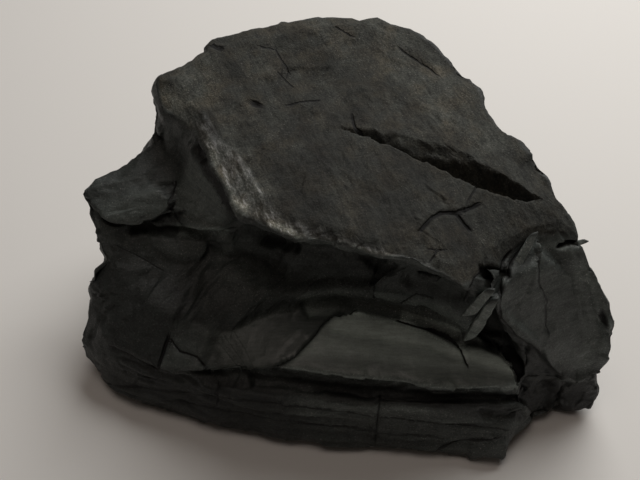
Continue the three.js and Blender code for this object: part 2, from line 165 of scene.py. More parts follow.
# The outlines of the lump from the floor up, in mm. Each goes once round: a point is
# (way, x, y, z), and the way is 0 at the middle of the back, 52 at the left tip,
# 80 to 150 along the front, 177 at the right end and 240 at the back again.
outlines = {
    "restingEdge": (
        (0, 1, 22, 0), (22, -19, 20, 0), (34, -28, 14, 0), (46, -36, 4, 0), (58, -40.5, -7, 0),
        (66, -40, -13, 0), (78, -32, -18.5, 0), (94, -19, -23, 0), (118, 2, -26.5, 0),
        (142, 21, -28, 0), (149, 26, -28, 0), (152, 27.5, -24.5, 0), (157, 31, -21.5, 0),
        (162, 36, -19.5, 0), (174, 41, -19.5, 0), (177, 41, -18, 0), (190, 38.5, -7.5, 0),
        (203, 32.5, 6, 0), (216, 22.5, 18, 0), (228, 11.5, 22.5, 0),
    ),
    "bottomSwell": (
        (0, 1, 24, 3), (10, -9, 25.5, 3), (15, -14, 23, 3), (22, -20, 22, 3), (34, -30, 16, 3),
        (46, -38, 5, 3.5), (58, -43, -11.5, 4), (64, -41.5, -13, 2.5), (70, -38.5, -16.5, 1.5),
        (78, -34, -18.5, 1.5), (86, -28, -20.5, 1.5), (94, -22, -23, 1.5), (102, -16, -24.5, 1.5),
        (110, -9, -26, 1.5), (118, -2.5, -27, 1.5), (126, 6, -27.5, 1.5), (134, 13.5, -28, 1.5),
        (142, 21.5, -28.5, 1.5), (147, 26, -29.5, 1.5), (149, 27.5, -29, 1.5), (152, 28.5, -26, 2),
        (155, 32.5, -23, 2), (157, 33, -22, 2), (159, 35.5, -21.5, 2), (162, 37, -20, 2),
        (174, 42.5, -19.5, 1.5), (177, 43, -19, 3), (190, 40, -7, 2.5), (203, 34, 6.5, 3),
        (216, 24, 19, 3), (228, 12.5, 24, 3),
    ),
    "layersTop": (
        (0, 1, 26, 10), (10, -9.5, 27, 10), (15, -14.5, 24.5, 9), (22, -21.5, 23.5, 9),
        (34, -31, 17, 9), (46, -39.5, 5, 8), (58, -43.5, -10.5, 8), (64, -40.5, -13.5, 7),
        (70, -37, -15.5, 7.5), (78, -32.5, -18, 8), (86, -27, -19.5, 8.5), (94, -21.5, -21.5, 10.5),
        (102, -15.5, -23, 12), (110, -9, -23.5, 12.5), (118, -2.5, -24.5, 12.5),
        (126, 5.5, -25.5, 12.5), (134, 12.5, -25.5, 12), (142, 20.5, -26, 11), (148, 27, -26, 9.5),
        (152, 30, -25, 9.5), (157, 32, -21.5, 6), (162, 36.5, -19, 5), (174, 42, -18.5, 5),
        (177, 43, -18, 6), (190, 41.5, -6.5, 7.5), (203, 36, 7.5, 8), (216, 26, 20.5, 9),
        (228, 13.5, 25.5, 10),
    ),
    "grooveBottom": (
        (0, 1, 24.5, 13), (22, -21, 22, 12), (34, -30, 16.5, 12), (46, -38.5, 5, 11),
        (58, -43, -9, 10), (64, -40, -12.5, 10), (70, -37, -15, 9.5), (78, -32, -17.5, 10),
        (86, -27, -19, 10.5), (94, -19.5, -18.5, 12), (102, -14, -19.5, 13.5), (110, -7, -20, 14),
        (118, 0, -21, 14), (126, 8, -22, 14), (134, 14.5, -22.5, 13.5), (142, 21.5, -23, 12.5),
        (148, 27, -23.5, 11), (152, 29.5, -22.5, 10.5), (157, 32, -21.5, 8), (162, 37, -19, 7),
        (174, 42, -18.5, 7), (177, 43, -18, 8), (190, 42, -6, 10), (203, 36.5, 7.5, 11),
        (216, 26.5, 20, 12), (228, 14, 24.5, 13),
    ),
    "ledgeLip": (
        (0, 1, 27, 17), (7, -6, 28.5, 17), (12, -11, 25.5, 17), (22, -23, 24.5, 16),
        (34, -32, 18, 15), (46, -40.5, 6, 14), (58, -42, -7, 13), (64, -39, -12.5, 12.5),
        (70, -36, -14.5, 11.5), (78, -31, -17, 11), (82, -29.5, -17.5, 11), (86, -26, -19, 12),
        (94, -21, -20, 13.5), (102, -15.5, -21, 15), (110, -9, -21.5, 16), (118, -2.5, -23, 16.5),
        (126, 5.5, -24, 16), (134, 12.5, -24.5, 15.5), (142, 20.5, -24.5, 14.5), (148, 26, -24, 14),
        (151, 28.5, -23.5, 13.5), (154, 30, -23, 12), (157, 31, -21, 12), (162, 39, -19, 9),
        (170, 41, -18.5, 9), (177, 43, -18, 9.5), (190, 43.5, -6, 13), (203, 38.5, 8, 15),
        (216, 28, 21, 16), (228, 14.5, 26, 17),
    ),
    "ledgeBack": (
        (0, 2, 25.5, 21), (22, -22.5, 23, 20), (34, -31, 17, 19), (44, -38.5, 8, 19),
        (51, -42, -4.5, 17), (55, -39.5, -3, 19.5), (60, -36.5, -5.5, 19), (66, -33, -8, 18.5),
        (74, -29.5, -10.5, 18), (80, -26.5, -12.5, 17.5), (88, -22, -13.5, 17),
        (96, -17, -14.5, 17), (102, -13.5, -12.5, 17.5), (108, -10, -11, 18),
        (114, -5.5, -10, 18.5), (119, -1, -10, 18.5), (123, 2, -11, 18), (128, 7.5, -12, 17.5),
        (134, 12.5, -13.5, 17), (139, 17.5, -16.5, 16), (142, 19.5, -17.5, 16),
        (145, 22.5, -16.5, 15.5), (148, 25.5, -18, 15), (150, 27.5, -20, 14.5),
        (152, 28.5, -23, 13.5), (154, 29.5, -22.5, 12.5), (157, 30.5, -20.5, 14),
        (162, 36, -19, 11.5), (170, 41, -18, 11.5), (177, 43.5, -17.5, 12), (190, 41, -6, 17),
        (203, 35.5, 8, 18), (216, 26, 20, 19.5), (228, 14, 24.5, 21),
    ),
    "lowWall": (
        (0, 2, 27, 25), (22, -24, 25, 24), (34, -32.5, 18.5, 23), (44, -37.5, 9, 23),
        (52, -39.5, -1.5, 22), (55, -38, -2.5, 21), (58, -36, -3, 21.5), (62, -33, -3, 21.5),
        (66, -29, -3, 21.5), (70, -25.5, -4, 21.5), (74, -22.5, -3.5, 21.5), (77, -21, -2, 22),
        (82, -18.5, -3.5, 21.5), (88, -13, -5.5, 22), (96, -8.5, -7.5, 23), (104, -4, -8.5, 23.5),
        (112, 1, -9, 24), (120, 6, -9.5, 24), (126, 6, -11.5, 20.5), (131, 10.5, -12, 20.5),
        (136, 14.5, -13.5, 20), (140, 17, -15.5, 19.5), (143, 19.5, -17, 19),
        (146, 21.5, -16.5, 18.5), (150, 23, -14.5, 18), (154, 27, -15.5, 17), (157, 29, -20, 19),
        (162, 32.5, -19.5, 17.5), (170, 39, -18, 17), (177, 43, -17.5, 17), (190, 39, -5.5, 22),
        (203, 33, 8, 23), (216, 24.5, 19.5, 24), (228, 14, 25.5, 25),
    ),
    "undercut": (
        (0, 2, 26, 29), (9, -8.5, 27.5, 28.5), (15, -15, 24, 28.5), (22, -23.5, 24, 28),
        (34, -32, 18, 27), (44, -37, 9, 26), (52, -39.5, -0.5, 24.5), (55, -38, -1, 24.5),
        (58, -36.5, -1, 24.5), (62, -34.5, 0.5, 24.5), (66, -31, 0.5, 24.5), (70, -26.5, 0, 24.5),
        (74, -23, -1, 24), (77, -20.5, -1.5, 24), (82, -17.5, -3, 24.5), (88, -11.5, -4, 26),
        (96, -7, -6, 27), (104, -2, -7, 27.5), (112, 2.5, -7.5, 28), (120, 7.5, -8.5, 28),
        (126, 5, -12, 25), (131, 9, -12, 26.5), (136, 13.5, -13, 28), (140, 16.5, -14.5, 27),
        (143, 18.5, -15.5, 26), (146, 20, -16, 25), (150, 23, -13.5, 24), (154, 26, -14.5, 23),
        (157, 25.5, -19.5, 23.5), (162, 29, -20, 23), (170, 38, -16.5, 22),
        (177, 43.5, -16.5, 21.5), (190, 37.5, -5, 26.5), (203, 31.5, 7.5, 28), (209, 29, 11.5, 29),
        (212, 26, 14, 28.5), (216, 23.5, 19, 29), (228, 13.5, 27, 30),
    ),
    "lobeEdge": (
        (0, 2, 27.5, 34), (9, -8.5, 29, 33), (15, -15.5, 26, 33.5), (22, -24, 25.5, 32),
        (32, -31, 20, 31.5), (38, -31.5, 13, 32), (43, -35, 9.5, 31.5), (47, -38.5, 8, 30.5),
        (52, -42, 4.5, 29.5), (55, -40.5, 2.5, 28.5), (58, -37.5, 1, 27.5), (62, -34.5, 0, 27),
        (66, -31, 0.5, 27), (70, -27.5, 2, 27.5), (74, -24.5, -0.5, 27), (77, -21, -2, 26.5),
        (82, -17, -4, 27), (88, -11, -5, 31), (96, -6.5, -7.5, 32), (104, -2, -8.5, 32),
        (112, 3, -9.5, 32), (120, 8, -10.5, 31.5), (126, 11.5, -12.5, 31), (131, 14.5, -14.5, 30.5),
        (136, 17, -16, 30), (140, 19, -17, 29.5), (143, 20.5, -17.5, 29), (146, 22, -16.5, 28.5),
        (150, 24, -14, 28.5), (154, 26.5, -14.5, 28), (157, 24, -20, 28.5),
        (162, 25.5, -20.5, 27.5), (170, 36, -15, 27), (177, 40.5, -14.5, 27.5),
        (190, 34.5, -4.5, 31), (203, 28, 7.5, 33), (209, 25.5, 12, 34), (212, 22, 14.5, 34),
        (216, 20, 18.5, 35), (228, 11.5, 26.5, 35),
    ),
    "roof": (
        (0, 2, 28.5, 41), (22, -23.5, 26, 38), (32, -31, 20, 36), (38, -30, 13, 34),
        (43, -29, 12, 33.5), (47, -28.5, 10.5, 33), (52, -26.5, 7.5, 32.5), (58, -25, 4, 31.5),
        (66, -22.5, 1, 30), (74, -20, -1, 29.5), (78, -18, -2.5, 29.5), (82, -16, -5.5, 31),
        (88, -11.5, -8, 34.5), (96, -7, -10.5, 35.5), (104, -2.5, -12, 35.5), (112, 2.5, -13, 35.5),
        (120, 8, -14.5, 35), (126, 12, -16, 34.5), (131, 15, -17, 34.5), (136, 17, -18, 34),
        (140, 18.5, -19, 33.5), (143, 20, -19.5, 33), (146, 21.5, -18.5, 32.5),
        (150, 24, -15, 32.5), (154, 26, -15, 32), (157, 22.5, -20.5, 33), (162, 23.5, -20, 32.5),
        (170, 33, -13, 32.5), (177, 38, -13, 32), (190, 31.5, -4, 36), (203, 25, 7.5, 38),
        (216, 17.5, 17.5, 40), (228, 10.5, 26, 41),
    ),
    "lip": (
        (0, 1, 29.5, 45.5), (6, -5.5, 29.5, 45.5), (10, -8.5, 29, 45), (14, -12, 28, 45),
        (18, -16.5, 27, 44.5), (21.5, -20.5, 26.5, 44), (23, -22, 25.5, 43.5), (24.5, -22, 24, 43),
        (28, -25, 21, 42.5), (31, -27.5, 20, 42), (34, -29.5, 18, 42), (37, -29.5, 15, 41.5),
        (40, -29, 11.5, 41), (43, -28, 10.5, 41), (47, -26, 9.5, 41), (52, -23.5, 7, 41),
        (58, -21.5, 3.5, 41), (66, -19.5, -1.5, 41), (74, -17, -6.5, 41), (78, -16, -9.5, 41),
        (82, -14.5, -11.5, 41), (88, -12, -13, 41), (96, -9.5, -14.5, 41), (104, -6.5, -16, 41),
        (112, -3, -16, 41), (120, 0.5, -16.5, 41), (126, 3.5, -18, 40.5), (131, 6.5, -18.5, 40.5),
        (136, 10, -18.5, 40), (140, 12.5, -20, 39.5), (143, 15, -20.5, 38.5),
        (146, 17.5, -22, 37.5), (150, 19.5, -20, 37), (154, 21, -18, 37), (157, 22.5, -18, 35.5),
        (162, 24, -16, 36), (170, 29.5, -11, 36.5), (177, 36, -10.5, 35.5), (184, 34.5, -7, 38),
        (190, 33.5, -5, 38.5), (199, 31, 0, 40), (205, 29, 4, 41), (209, 26, 5.5, 41.5),
        (214, 24, 9.5, 42), (219, 22.5, 14, 42.5), (224, 20, 18.5, 43), (229, 16, 24, 44),
        (233, 12.5, 27, 44.5), (236, 9, 28, 45), (237, 7.5, 29.5, 45.5),
    ),
    "rim": (
        (0, 1, 27, 46), (22, -20, 22.5, 44.5), (34, -27, 16, 43), (43, -24.5, 12.5, 42.5),
        (52, -21.5, 9.5, 42.5), (58, -19, 5, 42.5), (66, -17, 0, 42.5), (74, -15, -3, 42.5),
        (82, -12.5, -7, 42.5), (90, -10, -10, 42.5), (98, -6.5, -12.5, 42.5),
        (108, -2.5, -13.5, 42), (118, 1.5, -15, 42), (128, 6, -16.5, 41.5), (136, 10, -17, 40.5),
        (142, 14, -18.5, 40), (147, 17, -19, 39), (152, 20, -16, 38.5), (160, 23, -14.5, 38),
        (168, 28, -11, 38), (177, 33.5, -9, 37.5), (184, 31, -5.5, 39), (199, 26, 2.5, 41),
        (209, 21.5, 8, 42.5), (219, 18, 16, 43), (229, 13, 23.5, 44), (236, 6, 27, 45.5),
    ),
}

lump = {
    "wayRound": 240.0,
    "columns": 576,               # eight times the squares of the top
    "squares": 72,
    "columnSpread": ((0, 0), (78, 50), (498, 186), (576, 240)),  # (column, way): the front is finer
    "rowsBetween": (5, 19, 8, 6, 22, 10, 9, 8, 22, 11, 8),  # rows from each outline to the next
    "topMiddle": (3.0, 8.0, 43.3),
    "topFall": 2.5,               # power by which the top falls to the rim
    "wander": 0.14,               # how far an edge strays, in outlines
    "strays": ((5, 1), (1.6, 0.5)),  # (length in ways, share) of the two waves by which it strays
    "underRows": (0.93, 0.6),     # the underside's rows, as shares of the foot
    "facesLarge": (7.0, 0.085),   # (size in mm, lean) of the broken faces
    "facesSmall": (2.8, 0.10),
    "facesCalmed": {"ledge": 0.8, "top": 0.55, "layers": 0.6},  # share of them taken away
    "swell": (5.0, 0.30),         # (size, height) in mm of the slow unevenness
    "grit": (1.1, 0.07),          # the same of the fine unevenness
    "fineGrit": (0.55, 0.035),
    "layers": 0.60,               # mm, relief of the layers in the front and back
    "layerLean": 0.05,            # mm up for each mm to the left
    "layerBend": ((14, 14, 30), 1.1),                      # (size, height) in mm
    "layerLength": 26,                                     # in ways
    "layerSizes": (((1, 1, 1), 1), ((1, 0.5, 0.5), 0.6)),  # (size, share) of each wave
    "grain": 0.10,                # mm, relief of the streaks on top
    "grainTowards": (0.40, -0.91),  # (x, y)
    "streakSizes": (((6.0, 0.9, 3.0), 1), ((3.0, 0.45, 2.0), 0.6)),
    "seed": 11,
}


def wayOf(column):
    spread = np.array(lump["columnSpread"], float)
    return np.interp(column, spread[:, 0], spread[:, 1])


# One outline at the given ways: straight between its points, and closed on itself.
def alongOutline(points, ways):
    points = np.array(points, float)
    turn = np.array([lump["wayRound"], 0, 0, 0])
    joined = np.vstack([points[-1] - turn, points, points[0] + turn])
    return np.stack([np.interp(ways, joined[:, 0], joined[:, k]) for k in (1, 2, 3)], axis=-1)


# The wall: a row of places for each level, straight between the outline below and the one
# above. The level strays by a slow noise, so no edge runs dead straight.
columns = np.arange(lump["columns"])
ways = wayOf(columns)
rings = np.stack([alongOutline(points, ways) for points in outlines.values()])
levels = [0.0]
for below, rowCount in enumerate(lump["rowsBetween"]):
    levels += [below + (step + 1) / rowCount for step in range(rowCount)]
levels = np.array(levels)
rowCount = len(levels)
wallWay, wallLevel = np.meshgrid(ways, levels)
stray = 0
for number, (waySize, height) in enumerate(lump["strays"]):
    spread = np.stack([wallWay.ravel() / waySize, wallLevel.ravel() * 1.2, 0 * wallWay.ravel()], 1)
    stray = stray + height * softNoise(spread, 1.0, lump["seed"] + number)
calm = ramp(wallLevel, 0, 1) * (1 - ramp(wallLevel, 9.6, 10.6))  # the floor and the rim stay put
calm *= 1 - 0.75 * within(wallLevel, 3.6, 5.2, 0.3)              # and the ledge nearly so
lastRing = len(rings) - 1
strayed = wallLevel + lump["wander"] * calm * stray.reshape(wallLevel.shape)
strayed = np.clip(strayed, 0, lastRing)
lower = np.minimum(np.floor(strayed).astype(int), lastRing - 1)
share = (strayed - lower)[..., None]
columnGrid = np.broadcast_to(columns, lower.shape)
wall = rings[lower, columnGrid] * (1 - share) + rings[lower + 1, columnGrid] * share
wall[1:-1] = 0.25 * wall[:-2] + 0.5 * wall[1:-1] + 0.25 * wall[2:]  # takes the razor edge off

# The top: squares within squares, each brought to the rim's shape and drawn in towards the
# middle. The height falls from the middle to the rim by a power of the share of the way out.
squares = lump["squares"]
across, along = np.meshgrid(np.arange(-squares, squares + 1), np.arange(-squares, squares + 1))
square = np.maximum(np.abs(across), np.abs(along))
roundSquare = np.select(
    [(along == square) & (across <= 0), across == -square, along == -square, across == square],
    [-across, 2 * square - along, 4 * square + across, 6 * square + along],
    8 * square - across,
)
topColumn = roundSquare * (lump["columns"] / 8) / np.maximum(square, 1)
outward = square / squares
edge = alongOutline(outlines["rim"], wayOf(topColumn))
middle = np.array(lump["topMiddle"])
top = middle + (edge - middle) * outward[..., None]
top[..., 2] = middle[2] + (edge[..., 2] - middle[2]) * outward ** lump["topFall"]

# The underside: two rows drawn in flat at the floor, and one middle place.
under = np.stack([wall[0] * (s, s, 0) for s in lump["underRows"]])

# All places in one list: the wall's rows, the top's inner places, the underside, its middle.
inner = square < squares
places = np.vstack([wall.reshape(-1, 3), top[inner], under.reshape(-1, 3), [(0, 0, 0)]])
count = lump["columns"]
topStart = rowCount * count
underStart = topStart + inner.sum()
topIndex = np.full(square.shape, (rowCount - 1) * count)
topIndex += np.round(topColumn).astype(int) % count
topIndex[inner] = topStart + np.arange(inner.sum())


# The four-cornered faces between two rows of places, each row closed on itself.
def facesBetween(low, high):
    corners = [low, np.roll(low, -1, axis=-1), np.roll(high, -1, axis=-1), high]
    return np.stack(corners, axis=-1).reshape(-1, 4)


wallIndex = np.arange(topStart).reshape(rowCount, count)
underIndex = underStart + np.arange(2 * count).reshape(2, count)
topCorners = [topIndex[:-1, :-1], topIndex[:-1, 1:], topIndex[1:, 1:], topIndex[1:, :-1]]
quads = np.vstack([
    facesBetween(wallIndex[:-1], wallIndex[1:]),
    facesBetween(underIndex[0], wallIndex[0]),
    facesBetween(underIndex[1], underIndex[0]),
    np.stack(topCorners, -1).reshape(-1, 4),
])
lastRow = underIndex[1]
fan = np.stack([np.roll(lastRow, -1), lastRow, np.full(count, len(places) - 1)], axis=-1)

# What each place is: its level, its way round, and whether it may move. The underside may not.
topLevel = 12.0 - outward[inner]  # 11 at the rim and 12 in the middle
placeLevel = np.concatenate([wallLevel.ravel(), topLevel, np.zeros(2 * count + 1)])
placeWay = np.concatenate([wallWay.ravel(), wayOf(topColumn[inner]), np.tile(ways, 2), [0]])
placeFree = np.ones(len(places))
placeFree[underStart:] = 0
print("lump laid out:", len(places), "places,", 2 * len(quads) + len(fan), "triangles")

lowCorner, highCorner = (
    np.array(corner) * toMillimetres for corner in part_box("charcoal_lump")
)


# Moves and stretches the places to the box of the CAD solid.
def fitToBox(spots):
    low, high = spots.min(axis=0), spots.max(axis=0)
    return lowCorner + (spots - low) * (highCorner - lowCorner) / (high - low)


# Outward direction at each place: the faces' own directions added up at their corners.
def outwardAt(spots):
    a, b, c, d = (spots[quads[:, k]] for k in range(4))
    facing = np.cross(c - a, d - b)
    total = np.zeros_like(spots)
    for k in range(4):
        for axis in range(3):
            total[:, axis] += np.bincount(quads[:, k], facing[:, axis], len(spots))
    return total / np.maximum(np.linalg.norm(total, axis=1, keepdims=True), 1e-12)


places = fitToBox(places)
normals = outwardAt(places)
spots = seenFrom(places)

# Parts of the surface: (low, high, softness) of their levels, in outlines, and of their ways.
zones = {
    "frontWays": (56, 186, 2),
    "ledgeLevels": (4.05, 4.95, 0.12),
    "ledgeWays": (84, 152, 1),
    "layerLevels": (0.4, 3.6, 0.3),
    "layerWays": (70, 153, 7),
    "hollowLevels": (5.1, 9.6, 0.3),
    "hollowWays": (80, 150, 2),
    "notBackWays": (44, 186, 4),
    "sheetLevels": (4.0, 5.0, 0.1),
    "sheetWays": (92, 152, 2),
    "knobWays": (165, 190, 1),
}


def zone(levels, ways):
    return within(placeLevel, *zones[levels]) * within(placeWay, *zones[ways])


onTop = ramp(placeLevel, 10.0, 10.3)
facing = (normals * (eye - places)).sum(axis=1) / np.linalg.norm(eye - places, axis=1)
facingEye = facing > 0
front = within(placeWay, *zones["frontWays"]) * facingEye * (1 - onTop)
onLedge = zone("ledgeLevels", "ledgeWays")
onLayers = zone("layerLevels", "layerWays")
inHollow = zone("hollowLevels", "hollowWays")
onBack = np.clip(1 - within(placeWay, *zones["notBackWays"]), 0, 1) * (1 - onTop)

# Broken faces, slow swells and grit, standing out along the surface's own direction.
relief = np.zeros(len(places))
for number, name in enumerate(("facesLarge", "facesSmall")):
    size, lean = lump[name]
    relief += lean * brokenFaces(places, size, lump["seed"] + 2 + number)
lessen = lump["facesCalmed"]
relief *= (
    1 - lessen["ledge"] * onLedge - lessen["top"] * onTop
    - lessen["layers"] * onLayers * (1 - onLedge)
)
calmedLedge = (("swell", 0.6), ("grit", 0.6), ("fineGrit", 0.5))  # share taken away on the ledge
for number, (name, calmed) in enumerate(calmedLedge):
    size, height = lump[name]
    relief += height * softNoise(places, size, lump["seed"] + 4 + number) * (1 - calmed * onLedge)

# Layers: the height above the floor, bent a little, picks a random depth for each thin sheet.
size, height = lump["layerBend"]
bent = places[:, 2] + lump["layerLean"] * places[:, 0]
bent = bent + height * softNoise(places, size, lump["seed"] + 7)
sheets = np.stack([bent * 0 + 0.5, placeWay / lump["layerLength"], bent], axis=1)
layerRelief = waves(sheets, lump["layerSizes"], lump["seed"] + 8)
layered = np.clip(onLayers + 0.9 * onBack + 0.35 * inHollow, 0, 1)
relief += lump["layers"] * layerRelief * layered

# Streaks of grain on top: noise stretched along the grain, from the back left to the front.
grainX, grainY = lump["grainTowards"]
grainWay = np.array([grainX, grainY, 0.0]) / np.hypot(grainX, grainY)
grainSide = np.array([-grainY, grainX, 0.0]) / np.hypot(grainX, grainY)
streaks = np.stack([places @ grainWay, places @ grainSide, places[:, 2]], axis=1)
streakRelief = waves(streaks, lump["streakSizes"], lump["seed"] + 12)

# Outlines that are used twice, as seen from the camera, in mm across and up.
patches = {
    "lobeFacet": (
        (-39.4, 6.4), (-38.2, 8.5), (-35.6, 9.2), (-29.7, 9.3), (-26.5, 8), (-24.6, 5.8),
        (-25.5, 4.6), (-28, 3.2), (-31.2, 2.5), (-35.1, 2.7), (-38.2, 4.4),
    ),
    "lobeShoulder": (
        (-37.8, 9.5), (-34.8, 11.9), (-30.5, 13.9), (-27.8, 15.3), (-25.5, 12.7), (-24.9, 9.5),
        (-28.8, 9.8), (-33.9, 10),
    ),
    "middleFacet": (
        (-28.7, 0.2), (-23.8, 0), (-18.8, -0.5), (-18.7, -2), (-19.9, -3.2), (-22.2, -3.9),
        (-25.3, -3.2), (-27.7, -1.5),
    ),
    # A painted highlight on the top's rounded edge.
    "sheenEdge": (
        (-18.3, 17.3), (-16.3, 13.2), (-14.6, 8.5), (-13.6, 6.8), (-11.5, 4.8), (-12.6, 3.1),
        (-14.3, 4.1), (-15.4, 6.4), (-17.3, 11.5), (-19.2, 16.3),
    ),
    # A painted highlight along the front lip.
    "lipHighlight": (
        (-3.4, 0.3), (3.4, -0.7), (10.2, -2.2), (18.7, -4.6), (18.7, -5.9), (10.2, -4.1),
        (3.4, -2.2), (-3.4, -1.4),
    ),
}

# The rounded edge of the top, streaked; its silvery colour, given in the shader, is a painted
# sheen.
bevelShape = (
    (-20, 21.7), (-18, 20), (-16, 16.6), (-13.6, 13.9), (-10.9, 11.5), (-9.5, 8.5), (-7.8, 5.1),
    (-5.1, 2.9), (0, 1.5), (7.1, -0.8), (13.6, -2.5), (19.3, -4.6), (19, -5.8), (13.6, -4.6),
    (7.1, -3.1), (-0.3, -1.4), (-6.3, -0.3), (-9.8, 1.2), (-13.6, 3.6), (-15.1, 6.1), (-16.6, 9.2),
    (-17.6, 12.2), (-18.5, 14.9), (-20.7, 19.5),
)
onBevel = ramp(insideBy(spots, bevelShape) + 0.35 * streakRelief, -0.5, 0.7) * onTop
relief += lump["grain"] * streakRelief * (onTop + 2.0 * onBevel)

places = places + normals * (relief * placeFree)[:, None]
print("surface broken up")

# The gaping check in the top: (x, far y, near y, depth) along it. Its near side drops straight
# into a trench, and from there a broken shelf climbs back to the far side.
check = {
    "course": (
        (0.0, 5.0, 4.8, 0.3), (2.5, 5.0, 4.0, 2.2), (5, 4.5, 2.5, 3.0), (11, 3, -0.5, 3.6),
        (16, 2, -3, 4.0), (21, -0.5, -5.5, 4.2), (26, -3.5, -7, 3.6), (29, -5.3, -6.6, 2.0),
        (30.5, -6.2, -6.4, 0.3),
    ),
    "steepNear": 0.14,  # share of the width over which the near side drops
    # (x, share of the width) where the trench ends, and (x, share of the depth) of the shelf
    "trenchEnd": ((0, 0.40), (8, 0.38), (14, 0.46), (20, 0.66), (25, 0.9), (31, 0.92)),
    "shelf": ((0, 0.75), (8, 0.62), (15, 0.50), (20, 0.55), (26, 0.9), (31, 0.9)),
    "jags": ((1.6, 0.35), (0.7, 0.2)),  # (size, height) in mm of its ragged edges
    "steps": (1.8, 0.10),               # (size in mm, lean) of the shelf's broken faces
    "fromLevel": 10.6,                  # only the top is cut, not the wall below it
}
course = np.array(check["course"])
farY, nearY, deep = (np.interp(places[:, 0], course[:, 0], course[:, k]) for k in (1, 2, 3))
jag = waves(places, check["jags"], lump["seed"] + 20)
acrossCheck = (places[:, 1] + jag - nearY) / np.maximum(farY - nearY, 0.15)
size, lean = check["steps"]
steps = lean * brokenFaces(places, size, lump["seed"] + 22)
trenchEnd = np.interp(places[:, 0], *np.array(check["trenchEnd"]).T)
shelf = np.interp(places[:, 0], *np.array(check["shelf"]).T)
fromTrench = ramp(acrossCheck + steps, trenchEnd - 0.1, trenchEnd + 0.1)
climb = np.clip((acrossCheck + steps - trenchEnd) / (1 - trenchEnd), 0, 1)
inCheck = 1 - fromTrench + fromTrench * shelf * (1 - climb ** 0.8)
inCheck *= ramp(acrossCheck, 0, check["steepNear"]) * (acrossCheck < 1.02)
inCheck *= (places[:, 0] > course[0, 0]) * (places[:, 0] < course[-1, 0])
inCheck *= placeLevel > check["fromLevel"]
places[:, 2] -= inCheck * deep
print("check opened")

# Lines cut into the surface, as seen from the camera: (half width, depth, line), in mm.
topLines = (
    (0.24, 0.50, ((17.8, 1.7), (19.3, 3.4), (21, 4.2), (23.4, 4.2), (25.1, 4.8), (27, 5.6))),
    (0.20, 0.35, ((23.4, 4.2), (24.4, 2.9), (25.5, 1.5))),
    (0.11, 0.25, ((27, 8.8), (26, 7))),
    (0.11, 0.25, ((19.5, -1.9), (21, -2))),
    (0.11, 0.20, ((20.4, -2.2), (19.3, -3.7))),
    (0.11, 0.30, ((14.3, 31.9), (16.3, 30.5), (18.3, 29.5), (20, 28))),
    (0.11, 0.25, ((-9.3, 32.4), (-7.3, 32.1), (-5.1, 28.5))),
    (0.11, 0.20, ((-6.4, 27.7), (-4.8, 26.1))),
    (0.11, 0.22, ((3.7, 35.5), (5.6, 34.4))),
    (0.11, 0.20, ((-4.8, 22.6), (-2.5, 23.2), (-0.5, 23.2))),
    (0.35, 0.35, ((-10.9, 22.9), (-10.2, 22.6))),
    (0.16, 0.30, ((5.9, 20.4), (6.3, 18.8), (8.1, 17.6))),
    (0.30, 0.25, ((-19, 33.3), (-17, 32.2))),
)
